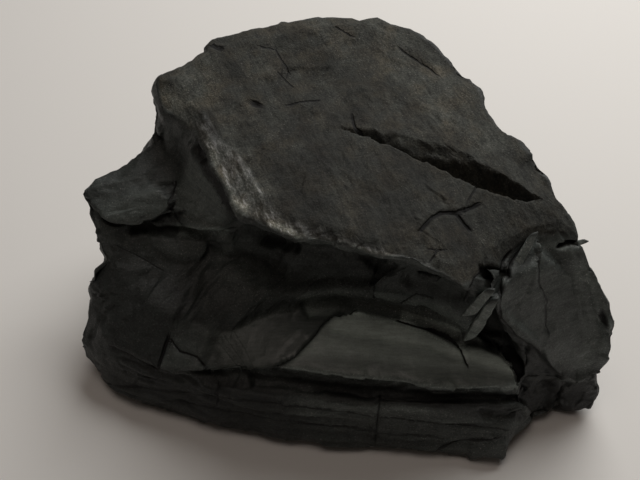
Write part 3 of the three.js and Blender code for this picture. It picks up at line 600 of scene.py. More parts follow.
frontLines = (
    (0.30, 0.60, ((20, -7.5), (21, -7.1))),
    (0.85, 2.00, (
        (27.1, -15.6), (27.7, -17), (29.2, -18.3), (30.9, -18.8), (32.4, -19.5), (33.9, -22.1),
        (35, -25.3), (35.3, -27.5),
    )),
    (0.11, 0.35, ((37.3, -4.2), (37.3, -7.1), (38.9, -10.7), (39, -13.6), (39, -15.3))),
    (0.11, 0.35, ((40.2, -28), (41.2, -25.1))),
    (0.11, 0.40, ((10.5, -27.7), (9.7, -34.3))),
    (0.11, 0.45, ((20.4, -36), (24.1, -34.6), (28.8, -34.3), (30.5, -33.9))),
    (0.10, 0.30, ((-20.4, -26.8), (-3.4, -28.7), (17, -31.4), (31.4, -32.6))),
    (0.09, 0.30, ((-25.5, -27.5), (-10.2, -30.7), (10.2, -33.3), (20.4, -34.1))),
    (0.11, 0.30, ((-35.3, -24.8), (-28.8, -25.8), (-22.1, -26.6))),
    (0.11, 0.30, ((-3.4, -31.9), (8.8, -32.6))),
    (0.11, 0.25, ((-17.1, -25.1), (-17.1, -28))),
    (0.13, 0.35, ((-25.1, -17.5), (-23.6, -19.3), (-20.7, -20.2), (-18.8, -22.4))),
    (0.16, 0.45, ((-25.5, -17), (-27.1, -21.9))),
    (0.13, 0.30, ((13.9, -14.4), (18.7, -15.8), (22.1, -17.3), (24.1, -19), (25.1, -21.4))),
    (0.11, 0.25, ((9.8, -6.8), (9.3, -10.2))),
    (0.11, 0.25, ((14.4, -11), (16.1, -9.7), (18.7, -10.2))),
    (0.10, 0.30, ((-35.6, 10), (-32.2, 9.5), (-27.1, 9.2), (-24.8, 9.2))),
    (0.09, 0.20, ((-34.1, -1.5), (-30.5, -3.2), (-26.8, -5.3))),
    (0.11, 0.30, ((-34.8, -18.7), (-28, -22.1))),
    (0.06, 0.06, ((-15.6, -17.1), (-13.9, -19.5), (-12, -22.2))),
    (0.06, 0.06, ((-13.9, -16.5), (-12.4, -19), (-10.9, -22.1))),
    (0.06, 0.06, ((-17.1, -17.5), (-15.3, -19.7), (-13.4, -22.4))),
    (0.11, 0.40, (
        (5.8, -12.6), (2.5, -13.2), (0.7, -14.6), (-0.5, -16.6), (-2.4, -18.5), (-4.1, -20.2),
        (-7.1, -21.9),
    )),
    (0.40, 0.90, (
        (-25.8, 20.5), (-22.9, 18), (-20.9, 15.8), (-19.3, 12.9), (-17.8, 9.5), (-16.1, 6.1),
        (-14.4, 3.2),
    )),
    (0.30, 0.80, (
        (-24.6, 5.8), (-25.3, 4.4), (-27.8, 3.1), (-31.2, 2.2), (-35.1, 2.5), (-38, 3.9),
    )),
    (0.14, 0.40, (
        (-26.6, 16.8), (-24.8, 14.6), (-24.3, 12.2), (-24.3, 9.3), (-25.1, 5.8), (-24.3, 3.6),
        (-23.2, 2.2),
    )),
    (0.11, 0.35, ((25.1, -9.8), (27.1, -6.4))),
    (0.16, 0.50, ((31.9, -4.4), (33.6, -1.5), (35.6, 0.2))),
    (0.20, 0.60, ((32.7, -6.3), (33.4, -4.4), (35, -2), (36.3, 0))),
    (0.20, 0.40, ((30.5, -10.2), (31.1, -13.2), (33.1, -15.3))),
    (0.40, 0.60, ((48.2, -13.2), (48.4, -13.7))),
)
# A notch in the top's outline, at its right end.
rimLines = (
    (0.22, 1.8, ((41.2, -1.5), (42.8, -0.8), (46.2, -1))),
)
# The same on the back, as (x, z) in mm: checks across the layers, and two partings along them.
backLines = (
    (0.16, 0.45, ((-13.5, 3), (-14.2, 8), (-12.8, 13), (-13.6, 19), (-13.0, 23))),
    (0.12, 0.35, ((-2.0, 20), (-2.8, 26), (-1.6, 31), (-2.2, 36))),
    (0.18, 0.50, ((9.5, 9), (8.6, 15), (10.2, 21), (9.4, 28), (10.0, 33))),
    (0.12, 0.35, ((22.0, 5), (21.2, 10), (22.6, 16))),
    (0.14, 0.40, ((27.5, 18), (26.6, 24), (28.0, 30))),
    (0.12, 0.30, ((-27.0, 16), (-26.2, 22), (-27.4, 28))),
    (0.20, 0.60, ((-32, 13.6), (-22, 14.8), (-12, 13.9), (-3, 14.6), (8, 13.2), (17, 13.8))),
    (0.14, 0.40, ((-6, 28.6), (4, 29.4), (14, 28.2), (24, 29.2), (30, 28.4))),
)
cracks = {
    "far": 9.0,            # mm, more than the shader ever looks at
    "leastWidth": 0.28,    # mm, the narrowest groove that the mesh can hold
    "fullWidth": 0.12,     # mm, half width from which a line is fully dark
    "reach": (0.55, 1.0),  # mm from the line, where its darkness fades out
}
# A groove falls off by a bell curve of the distance over its half width, and where lines cross
# the deeper one counts. The shader reads how far aside of the nearest line a place lies, in
# half widths, and how dark that line is there.
crackDepth = np.zeros(len(places))
crackGap = np.full(len(places), cracks["far"])
crackSide = np.full(len(places), cracks["far"])
crackPower = np.zeros(len(places))
fromBack = places[:, [0, 2]]
behind = (onBack > 0.5) & (normals[:, 1] > 0.2)
for lines, where, flat in (
    (topLines, placeLevel > 10.4, spots),
    (frontLines, front > 0.5, spots),
    (rimLines, facingEye, spots),
    (backLines, behind, fromBack),
):
    for halfWidth, depth, line in lines:
        gap, side = lineDistance(flat, line)
        trace = np.exp(-(gap / max(halfWidth, cracks["leastWidth"])) ** 2) * where
        crackDepth = np.maximum(crackDepth, depth * trace)
        nearer = (gap < crackGap) & where
        crackGap = np.where(nearer, gap, crackGap)
        crackSide = np.where(nearer, side / halfWidth, crackSide)
        crackPower = np.where(nearer, min(1.0, halfWidth / cracks["fullWidth"]) ** 2, crackPower)
crackNear = crackPower * (1 - ramp(crackGap, *cracks["reach"]))
places = places - normals * (crackDepth * placeFree)[:, None]

# The T-shaped hole beside the splinters, sunk along the line of sight:
# (depth, softness, outline), in mm.
pits = (
    (2.2, 0.30, (
        (27.5, -4.9), (30.5, -5.1), (32.9, -5.8), (32.7, -6.6), (31.2, -7), (30.7, -9.7),
        (29.2, -9.5), (29, -7), (27.3, -6.6),
    )),
)
for deeper, soft, shape in pits:
    sink = deeper * ramp(insideBy(spots, shape), -soft, soft) * facingEye * placeFree
    away = places - eye
    places = places + away * (sink / np.linalg.norm(away, axis=1))[:, None]

# Facets pressed flat: inside each outline the depth as seen goes towards the plane that
# fits it best, so the outline itself stays where it is seen. (share, softness, outline)
flats = (
    (0.8, 1.5, (
        (30.9, -8.8), (33.3, -6.8), (36, -5.1), (40, -4.8), (44.1, -5.4), (46.2, -9.5), (48, -16.1),
        (46.8, -20.7), (43.4, -23.4), (40.9, -22.2), (38.9, -20.2), (36.8, -17.1), (35, -15.4),
        (32.4, -13.9), (30.9, -11.7),
    )),
    (0.6, 0.5, (
        (-39, 6.4), (-37.8, 8.5), (-35.6, 9.2), (-29.7, 9.2), (-26.5, 7.8), (-24.9, 5.8),
        (-25.8, 4.6), (-28, 3.4), (-31.2, 2.7), (-35.1, 2.9), (-37.8, 4.4),
    )),
    (0.5, 0.8, (
        (-24.4, 15.3), (-22.1, 15.3), (-19.7, 12.6), (-17.6, 8.5), (-16, 4.8), (-17, 2.7),
        (-22.4, 3.1), (-24.1, 5.4), (-23.6, 9.2),
    )),
)
mostPressed = 0.03  # as a share of the distance to the camera
flatFace = np.zeros(len(places))
for share, soft, shape in flats:
    inside = insideBy(spots, shape)
    flatFace = np.maximum(flatFace, ramp(inside, -0.3, 0.6) * front)
    held = (inside > 0) & (front > 0.5)
    away = places - eye
    depth = away @ forward
    plane = np.column_stack([spots, np.ones(len(spots))])
    fitted = 1 / (plane @ np.linalg.lstsq(plane[held], 1 / depth[held], rcond=None)[0])
    moved = ramp(inside, -soft, soft) * share * front * placeFree
    moved *= np.clip(fitted / depth - 1, -mostPressed, mostPressed)
    places = places + away * moved[:, None]

# Facets and recesses as seen from the camera: (height, softness of the edge, outline), in mm.
plates = (
    (0.8, 0.22, patches["lobeFacet"]),
    (0.3, 0.30, patches["lobeShoulder"]),
    (0.5, 0.20, (
        (-26.6, 2), (-26.1, 3.4), (-25.1, 3.9), (-23.1, 3.2), (-16.6, 2.2), (-17, 1.5),
        (-22.1, 1.9),
    )),
    (-1.5, 0.30, (
        (-31.9, 2.2), (-28.8, 2.5), (-27.5, 1.7), (-22.6, 1.5), (-17.1, 1), (-14.9, 2.4),
        (-12.7, 2.4), (-9.8, 1.4), (-6.4, -0.2), (-3.4, -1.4), (-3.4, -2.7), (-8.8, -1.7),
        (-13.6, -0.3), (-17.1, 0), (-22.6, 0.5), (-27.8, 0.7), (-31.6, 0.8),
    )),
    (0.7, 0.25, patches["middleFacet"]),
    (-0.5, 0.35, ((-18.8, -0.5), (-13.6, -1), (-14.3, -3.7), (-16.6, -5.9), (-19.3, -4.4))),
    (-1.2, 0.60, (
        (-14.6, 2.4), (-10.7, 1.5), (-3.9, -1.2), (3.4, -1.5), (7.1, -3.2), (14.9, -4.6),
        (21.9, -7.6), (25.1, -9.5), (23.8, -10.9), (18.7, -9.2), (13.6, -7.8), (8.5, -7.5),
        (3.4, -8), (-3.4, -8.8), (-9.8, -7.8), (-13.9, -3.7),
    )),
    (-1.1, 0.30, (
        (-3.4, -10.7), (4.2, -10.2), (10.2, -10.7), (17, -11.9), (22.4, -14.3), (26.5, -17.3),
        (23.8, -17.8), (18.7, -15.6), (14.9, -13.9), (9.8, -12.9), (4.2, -12.4), (-1.7, -13.2),
    )),
    (-0.5, 0.40, (
        (-22.1, -5.4), (-19.3, -4.8), (-20, -7.1), (-20.4, -10.2), (-22.1, -12.9), (-24.1, -15.3),
        (-25.1, -14.6), (-23.1, -11.5), (-22.1, -8.5),
    )),
    (0.6, 0.5, (
        (-19.5, -5.1), (-12.7, -3.7), (-7.6, -5.9), (-8.8, -10.2), (-13.6, -13.2), (-19.5, -13.9),
        (-21.7, -12.2), (-19.9, -9.2),
    )),
    (-0.8, 0.30, (
        (34.4, -19), (38.2, -18.7), (39.2, -21.4), (41.1, -23.4), (40, -25.5), (37.3, -27.1),
        (35.8, -24.6),
    )),
    (-0.7, 0.25, ((35.6, -25.8), (39.4, -25.1), (40, -27.8), (39, -30.5), (36.3, -31.2))),
    (0.4, 0.25, ((40.4, -24.8), (46.2, -24.4), (45.8, -28.8), (41.7, -29.2), (40, -27.8))),
    (0.5, 0.20, ((25.5, -34.6), (30.5, -33.6), (31.9, -34.6), (31.4, -37.3), (25.5, -37))),
    (-0.8, 0.25, (
        (27.5, -29.2), (31.4, -29.9), (34.6, -29.4), (35.3, -30.5), (31.4, -31.2), (27.8, -30.5),
    )),
    (0.5, 0.25, (
        (21, -27.3), (27.1, -27.1), (33.9, -27.1), (35, -28.5), (30.5, -29), (22.1, -28.5),
    )),
    (-1.5, 0.25, (
        (-11.9, -22.7), (-0.7, -24.1), (10, -25.1), (17.8, -26), (24.1, -26.8), (29.9, -26.8),
        (34.3, -26.8), (34.3, -27.8), (29.9, -28), (24.1, -28), (17.8, -28), (12.7, -27.8),
        (5.8, -27.5), (-1.2, -26.6), (-5.9, -26.1), (-11, -25.6),
    )),
    (0.5, 0.2, (
        (-5.9, -27.5), (-1.2, -27.1), (5.1, -27.8), (9.8, -28.2), (5.1, -29.4), (-1.7, -30.5),
        (-5.9, -30.2),
    )),
)
for height, soft, shape in plates:
    ragged = insideBy(spots, shape) + 0.18 * softNoise(places, 1.3, lump["seed"] + 40)
    rise = height * ramp(ragged, -soft, soft) * front * placeFree
    places = places + normals * rise[:, None]

# Ridges that stand up, given the same way.
ridges = (
    (0.7, 0.7, (
        (30.4, -10.2), (30.5, -12.4), (32.4, -14.4), (35, -16), (36.8, -17.6), (38.9, -20.9),
        (40.9, -22.9), (43.4, -24.1), (46.3, -23.6),
    )),
    (0.6, 0.30, ((34.4, -19), (37.3, -21.4), (40, -25.1))),
    (0.45, 0.30, ((12.7, -13.7), (17, -14.9), (21.2, -17), (23.4, -19.3))),
)
for halfWidth, height, line in ridges:
    gap = lineDistance(spots, line)[0]
    rise = height * np.exp(-(gap / halfWidth) ** 2) * front * placeFree
    places = places + normals * rise[:, None]

# The curved break across the ledge: the sheet on its right stands higher than that on its left.
ledgeBreak = {
    "line": (
        (5.8, -12.9), (2.5, -13.4), (0.5, -14.8), (-0.2, -16.1), (-2.4, -18.3), (-4.1, -20.4),
        (-7.1, -21.7), (-8.1, -22.7),
    ),
    "softness": 0.15,  # mm
    "step": 1.9,       # mm, from the left sheet up to the right one
    "lowered": 1.1,    # mm, how far the left sheet is let down
    "forward": 0.5,    # mm towards the front for each mm up
}
acrossBreak, upBreak = np.array(ledgeBreak["line"]).T
breakAt = np.interp(-spots[:, 1], -upBreak, acrossBreak)
rightSheet = ramp(spots[:, 0] - breakAt, -ledgeBreak["softness"], ledgeBreak["softness"])
raised = ledgeBreak["step"] * rightSheet - ledgeBreak["lowered"]
raised = raised * zone("sheetLevels", "sheetWays")
places[:, 2] += raised
places[:, 1] -= ledgeBreak["forward"] * raised
print("lines and ridges cut")

# Small corrections to the outline as seen: (reach in mm, from where, to where).
pulls = (
    (1.5, (-37.8, -3.9), (-36, -3.9)),
    (1.6, (-38.3, -8.1), (-39.4, -8.3)),
    (3.0, (-33.9, 12.2), (-33.6, 11.5)),
    (2.4, (-28.2, 20.7), (-27.5, 20.7)),
    (3.6, (26.8, 25.8), (27.3, 26)),
    (1.8, (-39.7, -13.9), (-39.2, -13.9)),
    (1.0, (45.5, -0.5), (44.3, -0.8)),
    (0.9, (-39.2, -6.4), (-37.7, -7)),
    (2.0, (45.8, -26.1), (47.2, -26.1)),
    (2.4, (48.2, -19), (49.2, -19)),
)
for reach, fromSpot, toSpot in pulls:
    hold = np.exp(-(np.linalg.norm(spots - np.array(fromSpot), axis=1) / reach) ** 2) * placeFree
    shift = np.array(toSpot) - np.array(fromSpot)
    places = places + hold[:, None] * (shift[0] * rightward + shift[1] * upward)

# Small lumps that stand off the outline: (radius, height, place seen at).
knobs = (
    (0.75, 1.5, (49, -14.6)),
)
for radius, height, seenAt in knobs:
    gap = np.linalg.norm(spots - np.array(seenAt), axis=1)
    reach = np.exp(-(gap / radius) ** 2) * within(placeWay, *zones["knobWays"]) * placeFree
    places = places + normals * (height * reach)[:, None]

places = fitToBox(places)
places[:, 2] = np.maximum(places[:, 2], 0)

# Painted light and shade, with some of the surface's own tone: how much paler or darker each patch
# is painted, with painted light on the ledge, painted highlights on edges and facets, and painted
# shade in the hollow, the grooves and the T-shaped hole: (doublings of its colour, softness in mm,
# outline).
frontShadeAndTone = (
    (1.0, 0.3, patches["sheenEdge"]),
    (1.0, 0.3, patches["lipHighlight"]),
    (1.6, 0.25, (
        (13.9, -13.2), (18.7, -14.4), (22.1, -15.8), (24.9, -17.3), (25.1, -18.5), (22.1, -17.1),
        (18.7, -15.6), (13.9, -14.1),
    )),
    (-0.5, 1.5, ((-40.7, -23.1), (-25.5, -23.1), (-3.4, -26.5), (-3.4, -37.3), (-40.7, -33.9))),
    (-0.4, 0.8, (
        (-15.6, 2.4), (-9.8, 1), (-3.4, -1.4), (4.2, -2), (11, -4.1), (11, -6.8), (4.2, -6.8),
        (-3.4, -6.4), (-13.6, -3.7),
    )),
    (1.7, 0.6, (
        (-3.4, -9.5), (4.2, -8.5), (10.2, -9.2), (17, -10.2), (22.1, -11.5), (27.5, -14.6),
        (27.8, -18), (22.9, -17.1), (17, -14.6), (11, -13.2), (4.2, -13.1), (-1.7, -13.2),
    )),
    (2.0, 0.3, ((-24.1, 2.4), (-16.6, 2), (-15.6, 0), (-20.4, -0.2), (-24.1, 0.3))),
    (-0.5, 0.8, ((-25.1, -3.7), (-13.9, -3.7), (-14.9, -13.9), (-19.5, -14.6), (-24.1, -13.9))),
    (-0.6, 0.6, ((-25.8, -16), (-17.8, -15.3), (-16.6, -18.7), (-16.1, -22.6), (-26.3, -22.6))),
    (1.5, 0.4, (
        (26.8, -16.3), (30.5, -17.8), (33.1, -20), (35, -23.8), (35.5, -27.1), (33.9, -26.1),
        (32.6, -22.1), (30.2, -19.3), (27.1, -18.3),
    )),
    (1.1, 1.0, (
        (6.1, -12), (10.9, -12.7), (15.3, -13.7), (18.8, -15.4), (23.2, -17.5), (27.7, -18.3),
        (31.1, -19.9), (33.8, -22.7), (32.6, -23.4), (27.1, -21.4), (22.1, -20), (17, -18.7),
        (10.2, -17.3), (2.5, -16.3), (1.7, -14.4),
    )),
    (-0.9, 1.0, (
        (-8.5, -21.4), (1.7, -20), (13.6, -21.4), (23.8, -22.7), (35.6, -23.4), (35.6, -26.1),
        (24.1, -26.8), (10, -25.3), (-3.4, -23.8),
    )),
    (-1.3, 0.4, (
        (1.7, -26), (11.9, -26.8), (18.7, -27.5), (25.5, -27.8), (31.4, -29), (34.6, -29.4),
        (34.6, -30.7), (31.4, -30.9), (25.5, -30.4), (22.1, -29.5), (18.7, -28.8), (11.9, -28.2),
        (1.7, -27.5),
    )),
    (0.5, 1.2, (
        (-14.9, 0), (-9.8, -1.7), (-3.4, -3.1), (1.7, -5.1), (-1.7, -10.2), (-9.8, -10.2),
        (-17.8, -10.2), (-19.5, -5.1),
    )),
    (1.0, 0.5, patches["lobeFacet"]),
    (1.3, 0.5, patches["lobeShoulder"]),
    (1.3, 0.5, (
        (-23.8, 14.9), (-20.9, 14.3), (-18.7, 9.8), (-16.6, 5.8), (-15.6, 3.1), (-16.6, 2),
        (-22.1, 2.4), (-24.1, 5.8), (-23.8, 10.2),
    )),
    (-1.4, 0.3, (
        (-23.2, 18.3), (-20.7, 16.1), (-18.8, 12.9), (-17.5, 9.7), (-15.6, 6.1), (-14.1, 3.4),
        (-15.1, 3.1), (-16.6, 5.6), (-18.5, 8.7), (-20, 11.7), (-21.9, 14.8), (-24.3, 17.3),
    )),
    (-0.3, 0.4, ((-26.5, 20), (-23.4, 18.5), (-20.4, 14.6), (-23.8, 14.6), (-26.1, 16.6))),
    (0.3, 0.4, patches["middleFacet"]),
    (-0.8, 1.2, (
        (-40.7, -6.8), (-35.6, -4.2), (-27.1, -5.9), (-20.4, -10.2), (-25.1, -16.1), (-27.5, -22.1),
        (-20.4, -23.8), (-5.9, -24.4), (-11.9, -35.6), (-28.8, -33.9), (-40.7, -27.1),
    )),
    (1.2, 0.5, (
        (-25.1, -16.1), (-19.5, -15.3), (-15.6, -16), (-12.7, -14.6), (-9.2, -12.4), (-3.4, -11),
        (3.4, -11.5), (0.3, -15.3), (-4.1, -20), (-8.1, -22.6), (-20.4, -22.6), (-26.8, -22.4),
    )),
    (2.8, 0.4, (
        (6.1, -12.7), (10.9, -13.4), (15.3, -14.4), (18.8, -16.1), (23.2, -18.2), (27.7, -19),
        (31.1, -20.4), (33.8, -23.2), (34.4, -25.8), (29.9, -26.1), (24.1, -26.1), (17.8, -25.5),
        (10, -24.6), (-0.7, -23.6), (-6.8, -22.4), (-3.4, -20), (0.3, -15.8), (2.5, -13.4),
    )),
    (-1.3, 0.3, (
        (-0.7, -25.1), (8.5, -26), (20.4, -27.1), (30.5, -27.5), (30.5, -28.2), (20.4, -28),
        (8.5, -27.5), (-0.7, -26.8),
    )),
    (0.4, 1.5, (
        (-14.9, 2.4), (-3.9, -1.2), (7.1, -3.2), (21.9, -7.6), (25.1, -9.5), (18.7, -9.2),
        (8.5, -7.5), (3.4, -10.2), (-3.4, -10.7), (-9.8, -10.2), (-16.1, -7.6), (-18.7, -3.7),
    )),
    (0.45, 1.0, (
        (-5.1, -27.8), (17, -28.5), (30.5, -29.2), (33.9, -30.5), (31.4, -36.5), (20.4, -36),
        (10.2, -33.9), (0, -32.2),
    )),
    (0.6, 0.4, (
        (-5.1, -26.8), (0, -27.1), (9.8, -28), (18.7, -28.8), (18.7, -30.2), (5.1, -29.5),
        (-1.7, -30.5), (-5.4, -29.9),
    )),
    (-0.1, 0.25, (
        (-28.8, -22.7), (-19.5, -23.2), (-9.8, -23.4), (-0.7, -24.1), (10, -25.1), (17.8, -26),
        (24.1, -26.8), (29.9, -26.8), (34.3, -26.6), (35.3, -27.5), (34.6, -28.2), (29.7, -28),
        (24.1, -27.8), (17.8, -27.7), (12.7, -27.5), (5.8, -27), (-1.2, -26.1), (-9.8, -25.6),
        (-20.4, -25.1), (-28.8, -24.4),
    )),
    (1.0, 0.3, ((27.5, -7.6), (29.5, -7), (26.8, -11.9), (24.6, -13.4))),
    (-0.9, 0.6, ((31.1, -4.8), (33.3, -2), (35.6, -1), (36.3, -3.7), (35, -5.8), (32.2, -8.1))),
    (1.0, 0.5, ((36.7, 1.7), (40.7, 1), (44.8, -1), (45.8, -2.7), (40.7, -2), (36.7, -1.4))),
    (-0.4, 0.8, ((36.3, -2), (40.7, -2.4), (42.8, -3.7), (42.4, -5.8), (37.3, -6.1))),
    (0.7, 0.8, ((43.1, -2.7), (46.2, -3.7), (47, -8.5), (44.1, -7.5))),
    (-0.4, 0.8, (
        (33.6, -6.8), (42.4, -7.1), (44.1, -10.2), (45.1, -17), (43.3, -22.4), (39.9, -20.7),
        (35.6, -16.6), (31.9, -13.2), (31.2, -10.2),
    )),
    (1.0, 0.5, (
        (44.8, -2), (45.8, -3.4), (47.9, -7.6), (49.9, -13.6), (49.9, -17.8), (48.5, -22.4),
        (47, -21.9), (48, -16.1), (46.8, -9.8), (44.5, -4.1),
    )),
    (1.0, 0.8, (
        (31.9, -3.7), (36.5, -0.8), (43.3, -1.7), (47.5, -10.2), (48.4, -17.8), (45.8, -23.4),
        (40, -21.4), (37.3, -18.3), (32.2, -14.4), (30, -10.2),
    )),
    (-1.4, 0.4, (
        (30, -11), (32.6, -14.9), (37.3, -18), (39.4, -21.4), (41.1, -23.4), (40, -25.8),
        (35.6, -27.1), (32.6, -19.7), (27.8, -16.3),
    )),
    (-2.2, 0.3, (
        (27.7, -5.1), (30.5, -5.3), (32.7, -5.9), (32.7, -6.6), (31.2, -7.1), (31.6, -8.8),
        (30.5, -9.8), (29.4, -9.2), (29.2, -7), (27.7, -6.6),
    )),
    (-2.2, 0.3, ((35.6, -25.5), (40, -24.8), (46.5, -24.1), (45.8, -29.2), (36.3, -31.6))),
)
# The same painted light and shade on the top: painted highlights along the edge and lip, painted
# shade in the T-shaped hole, with some of the top's own tone.
topShadeAndTone = (
    (-2.2, 0.3, (
        (27.5, -4.8), (30.5, -4.9), (32.9, -5.6), (32.9, -6.6), (31.2, -7), (30.5, -9.5),
        (29, -9.2), (29, -6.8), (27.3, -6.4),
    )),
    (-0.35, 2.0, ((10.2, 4.2), (25.5, 3.4), (26.8, -5.1), (18.7, -3.7), (10.2, -1.7))),
    (0.5, 0.4, (
        (10.9, 17.5), (14.3, 17.6), (18.7, 16.6), (24.1, 14.9), (26.8, 12.6), (24.8, 11.9),
        (20.4, 13.6), (13.6, 15.8),
    )),
    (-0.25, 3.0, (
        (-5.1, 22.1), (13.6, 25.5), (25.5, 15.3), (13.6, 1.7), (-3.4, 4.2), (-8.5, 13.6),
    )),
    (0.8, 1.0, (
        (-27.8, 23.1), (-27.5, 27.1), (-23.8, 29.2), (-19, 31.9), (-16.1, 28.8), (-16.6, 23.1),
        (-19.3, 21.7),
    )),
    (0.9, 0.5, (
        (-27.5, 25.1), (-20.4, 23.1), (-19.3, 19.5), (-18, 16.5), (-16.6, 12.9), (-15.1, 8.5),
        (-13.7, 5.8), (-14.9, 4.9), (-16.5, 7.8), (-18.3, 11.7), (-20.2, 15.1), (-22.2, 18),
        (-25.5, 20.5), (-27.7, 21),
    )),
    (1.5, 0.4, (
        (-8.8, 3.1), (-5.9, 2.4), (-1.7, 0), (4.2, -0.5), (8.8, -2), (13.6, -3.7), (18.7, -5.1),
        (18.7, -5.8), (13.6, -4.6), (7.1, -3.2), (0, -1.5), (-5.1, -0.8), (-8.8, 0.5),
    )),
    (-1.0, 0.8, ((-21.4, 23.8), (-18.3, 21.7), (-16.3, 17.6), (-18, 15.3), (-21, 19.7))),
    (0.9, 0.3, patches["sheenEdge"]),
    (0.8, 0.5, ((-15.1, 6.4), (-11.9, 6.4), (-10.9, 4.4), (-12.6, 2.9), (-14.3, 3.9))),
    (1.3, 0.3, patches["lipHighlight"]),
    (0.75, 0.6, ((-8.1, 3.1), (-3.4, 2.4), (-1.7, 0), (-5.1, 0), (-8.5, 1.4))),
    (0.25, 1.6, (
        (-21.7, 23.4), (-17.8, 22.1), (-11.9, 15.3), (-7.5, 8.5), (-5.4, 2.5), (-9.8, 1.4),
        (-13.9, 4.2), (-16.1, 9.3), (-18.7, 15.3), (-21.2, 19.5),
    )),
    (0.6, 0.8, (
        (-15.6, 11.9), (-12.2, 12.2), (-9.8, 8.8), (-8.5, 4.8), (-4.8, 2.4), (-3.4, -0.3),
        (-9.8, 1.4), (-12.9, 3.7), (-14.6, 6.8),
    )),
    (0.2, 0.6, (
        (-20.7, 22.7), (-18.3, 21), (-16, 17), (-13.9, 14.3), (-11.2, 11.9), (-9.5, 8.5),
        (-8.5, 4.8), (-5.9, 2), (0.3, 0.7), (7.5, -1.7), (13.9, -3.2), (13.9, -4.8), (7.1, -3.2),
        (-3.9, -1), (-9.8, 1), (-13.6, 3.6), (-14.8, 5.4), (-16.3, 8.5), (-17.3, 11.5),
        (-18.3, 14.4), (-19.5, 17), (-21, 20),
    )),
    (-0.3, 1.5, ((-8.5, 12.7), (-1.7, 13.6), (1.7, 8.5), (0, 2.5), (-5.1, 3.1))),
    (0.7, 1.5, (
        (-3.4, 37.3), (11.9, 37.3), (25.5, 26.3), (33.9, 15.3), (27.1, 13.6), (17, 23.8),
        (3.4, 30.5),
    )),
)
# The same over larger parts of the surface, in doublings: painted light on the walls, where fill
# light is short, and the top's own patches and streaks.
shades = {
    # painted light: the walls are painted paler to stand in for fill light
    "paintedWallLight": 0.7,
    "topMottle": (3.6, 0.45),           # (size in mm, doublings) of its random patches
    "topStreaks": ((7, 1.5, 4), 0.40),
    "layers": 0.7,                      # from the deep layers to the high ones
    "backDarker": 0.45,
    "backLayers": 0.5,
}
size, height = shades["topMottle"]
toneAndPaintedLight = onTop * height * softNoise(places, size, lump["seed"] + 50)
toneAndPaintedLight += shades["paintedWallLight"] * (1 - onTop)
size, height = shades["topStreaks"]
toneAndPaintedLight += onTop * height * softNoise(streaks, size, lump["seed"] + 51)
backShade = shades["backDarker"] - shades["backLayers"] * layerRelief
toneAndPaintedLight += shades["layers"] * onLayers * layerRelief - onBack * backShade
frontSeen = front * ramp(facing, -0.02, 0.22)  # fades where the surface turns away
# Paints the patches' light and shade into the colour, on the front and on the top.
for tones, where in ((frontShadeAndTone, frontSeen), (topShadeAndTone, onTop)):
    for doublings, soft, shape in tones:
        toneAndPaintedLight += doublings * ramp(insideBy(spots, shape), -soft, soft) * where

splinters = {
    "bars": (  # (foot, tip, width, thickness), in mm
        ((19.0, -18.9, 27.9), (21.2, -20.6, 36.4), 1.7, 0.9),
        ((19.9, -18.4, 20.9), (22.1, -20.2, 33.6), 1.9, 1.1),
        ((25.4, -15.0, 33.2), (28.3, -11.7, 38.4), 1.4, 0.9),
        ((33.5, -9.0, 31.0), (37.4, -8.6, 33.0), 1.2, 0.8),
    ),
    "rowCount": 26,
    "roundCount": 20,
    "narrowing": 0.30,     # share of the width that is lost from foot to tip
    "leaf": 0.12,          # how far both ends draw in
    "boxy": 0.4,           # power of the section's sine and cosine: 1 is oval, 0 is a box
    "footSlant": 1.6,      # mm along the bar for each mm across it
    "tipSlant": 1.0,
    "roughness": (1.1, 0.13),  # (size, height) in mm of its uneven sides
    "toneAndPaintedLight": 2.6,           # doublings of the colour
    # the tips, painted darker: painted shade
    "shadedTipTone": 0.6,
}


# A splinter is a flat bar: a boxy oval section, turned to the camera, is carried from the foot
# to the tip. It narrows evenly, draws in at both ends, and slants by its width at the ends.
def splinterPlaces(foot, tip, width, thickness, seed):
    foot, tip = np.array(foot), np.array(tip)
    length = tip - foot
    alongBar = length / np.linalg.norm(length)
    side = np.cross(alongBar, -forward)
    side /= np.linalg.norm(side)
    face = np.cross(side, alongBar)
    share = np.linspace(0, 1, splinters["rowCount"])[:, None]
    angle = np.linspace(0, 2 * np.pi, splinters["roundCount"], endpoint=False)[None]
    narrow = 1 - splinters["narrowing"] * share
    narrow = narrow * (4 * share * (1.002 - share) + 0.01) ** splinters["leaf"]
    cosine, sine = np.cos(angle), np.sin(angle)
    wide = np.sign(cosine) * np.abs(cosine) ** splinters["boxy"] * narrow * width / 2
    thick = np.sign(sine) * np.abs(sine) ** splinters["boxy"] * narrow * thickness / 2
    slant = splinters["footSlant"] * wide * (1 - ramp(share, 0, 0.6))
    slant = slant + splinters["tipSlant"] * wide * ramp(share, 0.5, 1)
    bar = foot + share[..., None] * length + slant[..., None] * alongBar
    bar = bar + wide[..., None] * side + thick[..., None] * face
    size, height = splinters["roughness"]
    rough = height * softNoise(bar.reshape(-1, 3), size, seed).reshape(bar.shape[:2])
    return bar + rough[..., None] * side


# Closes an end of a bar with triangles from its last row to one place in the middle.
def endFan(row, middle):
    return np.stack([row, np.roll(row, -1), np.full(len(row), middle)], axis=-1)


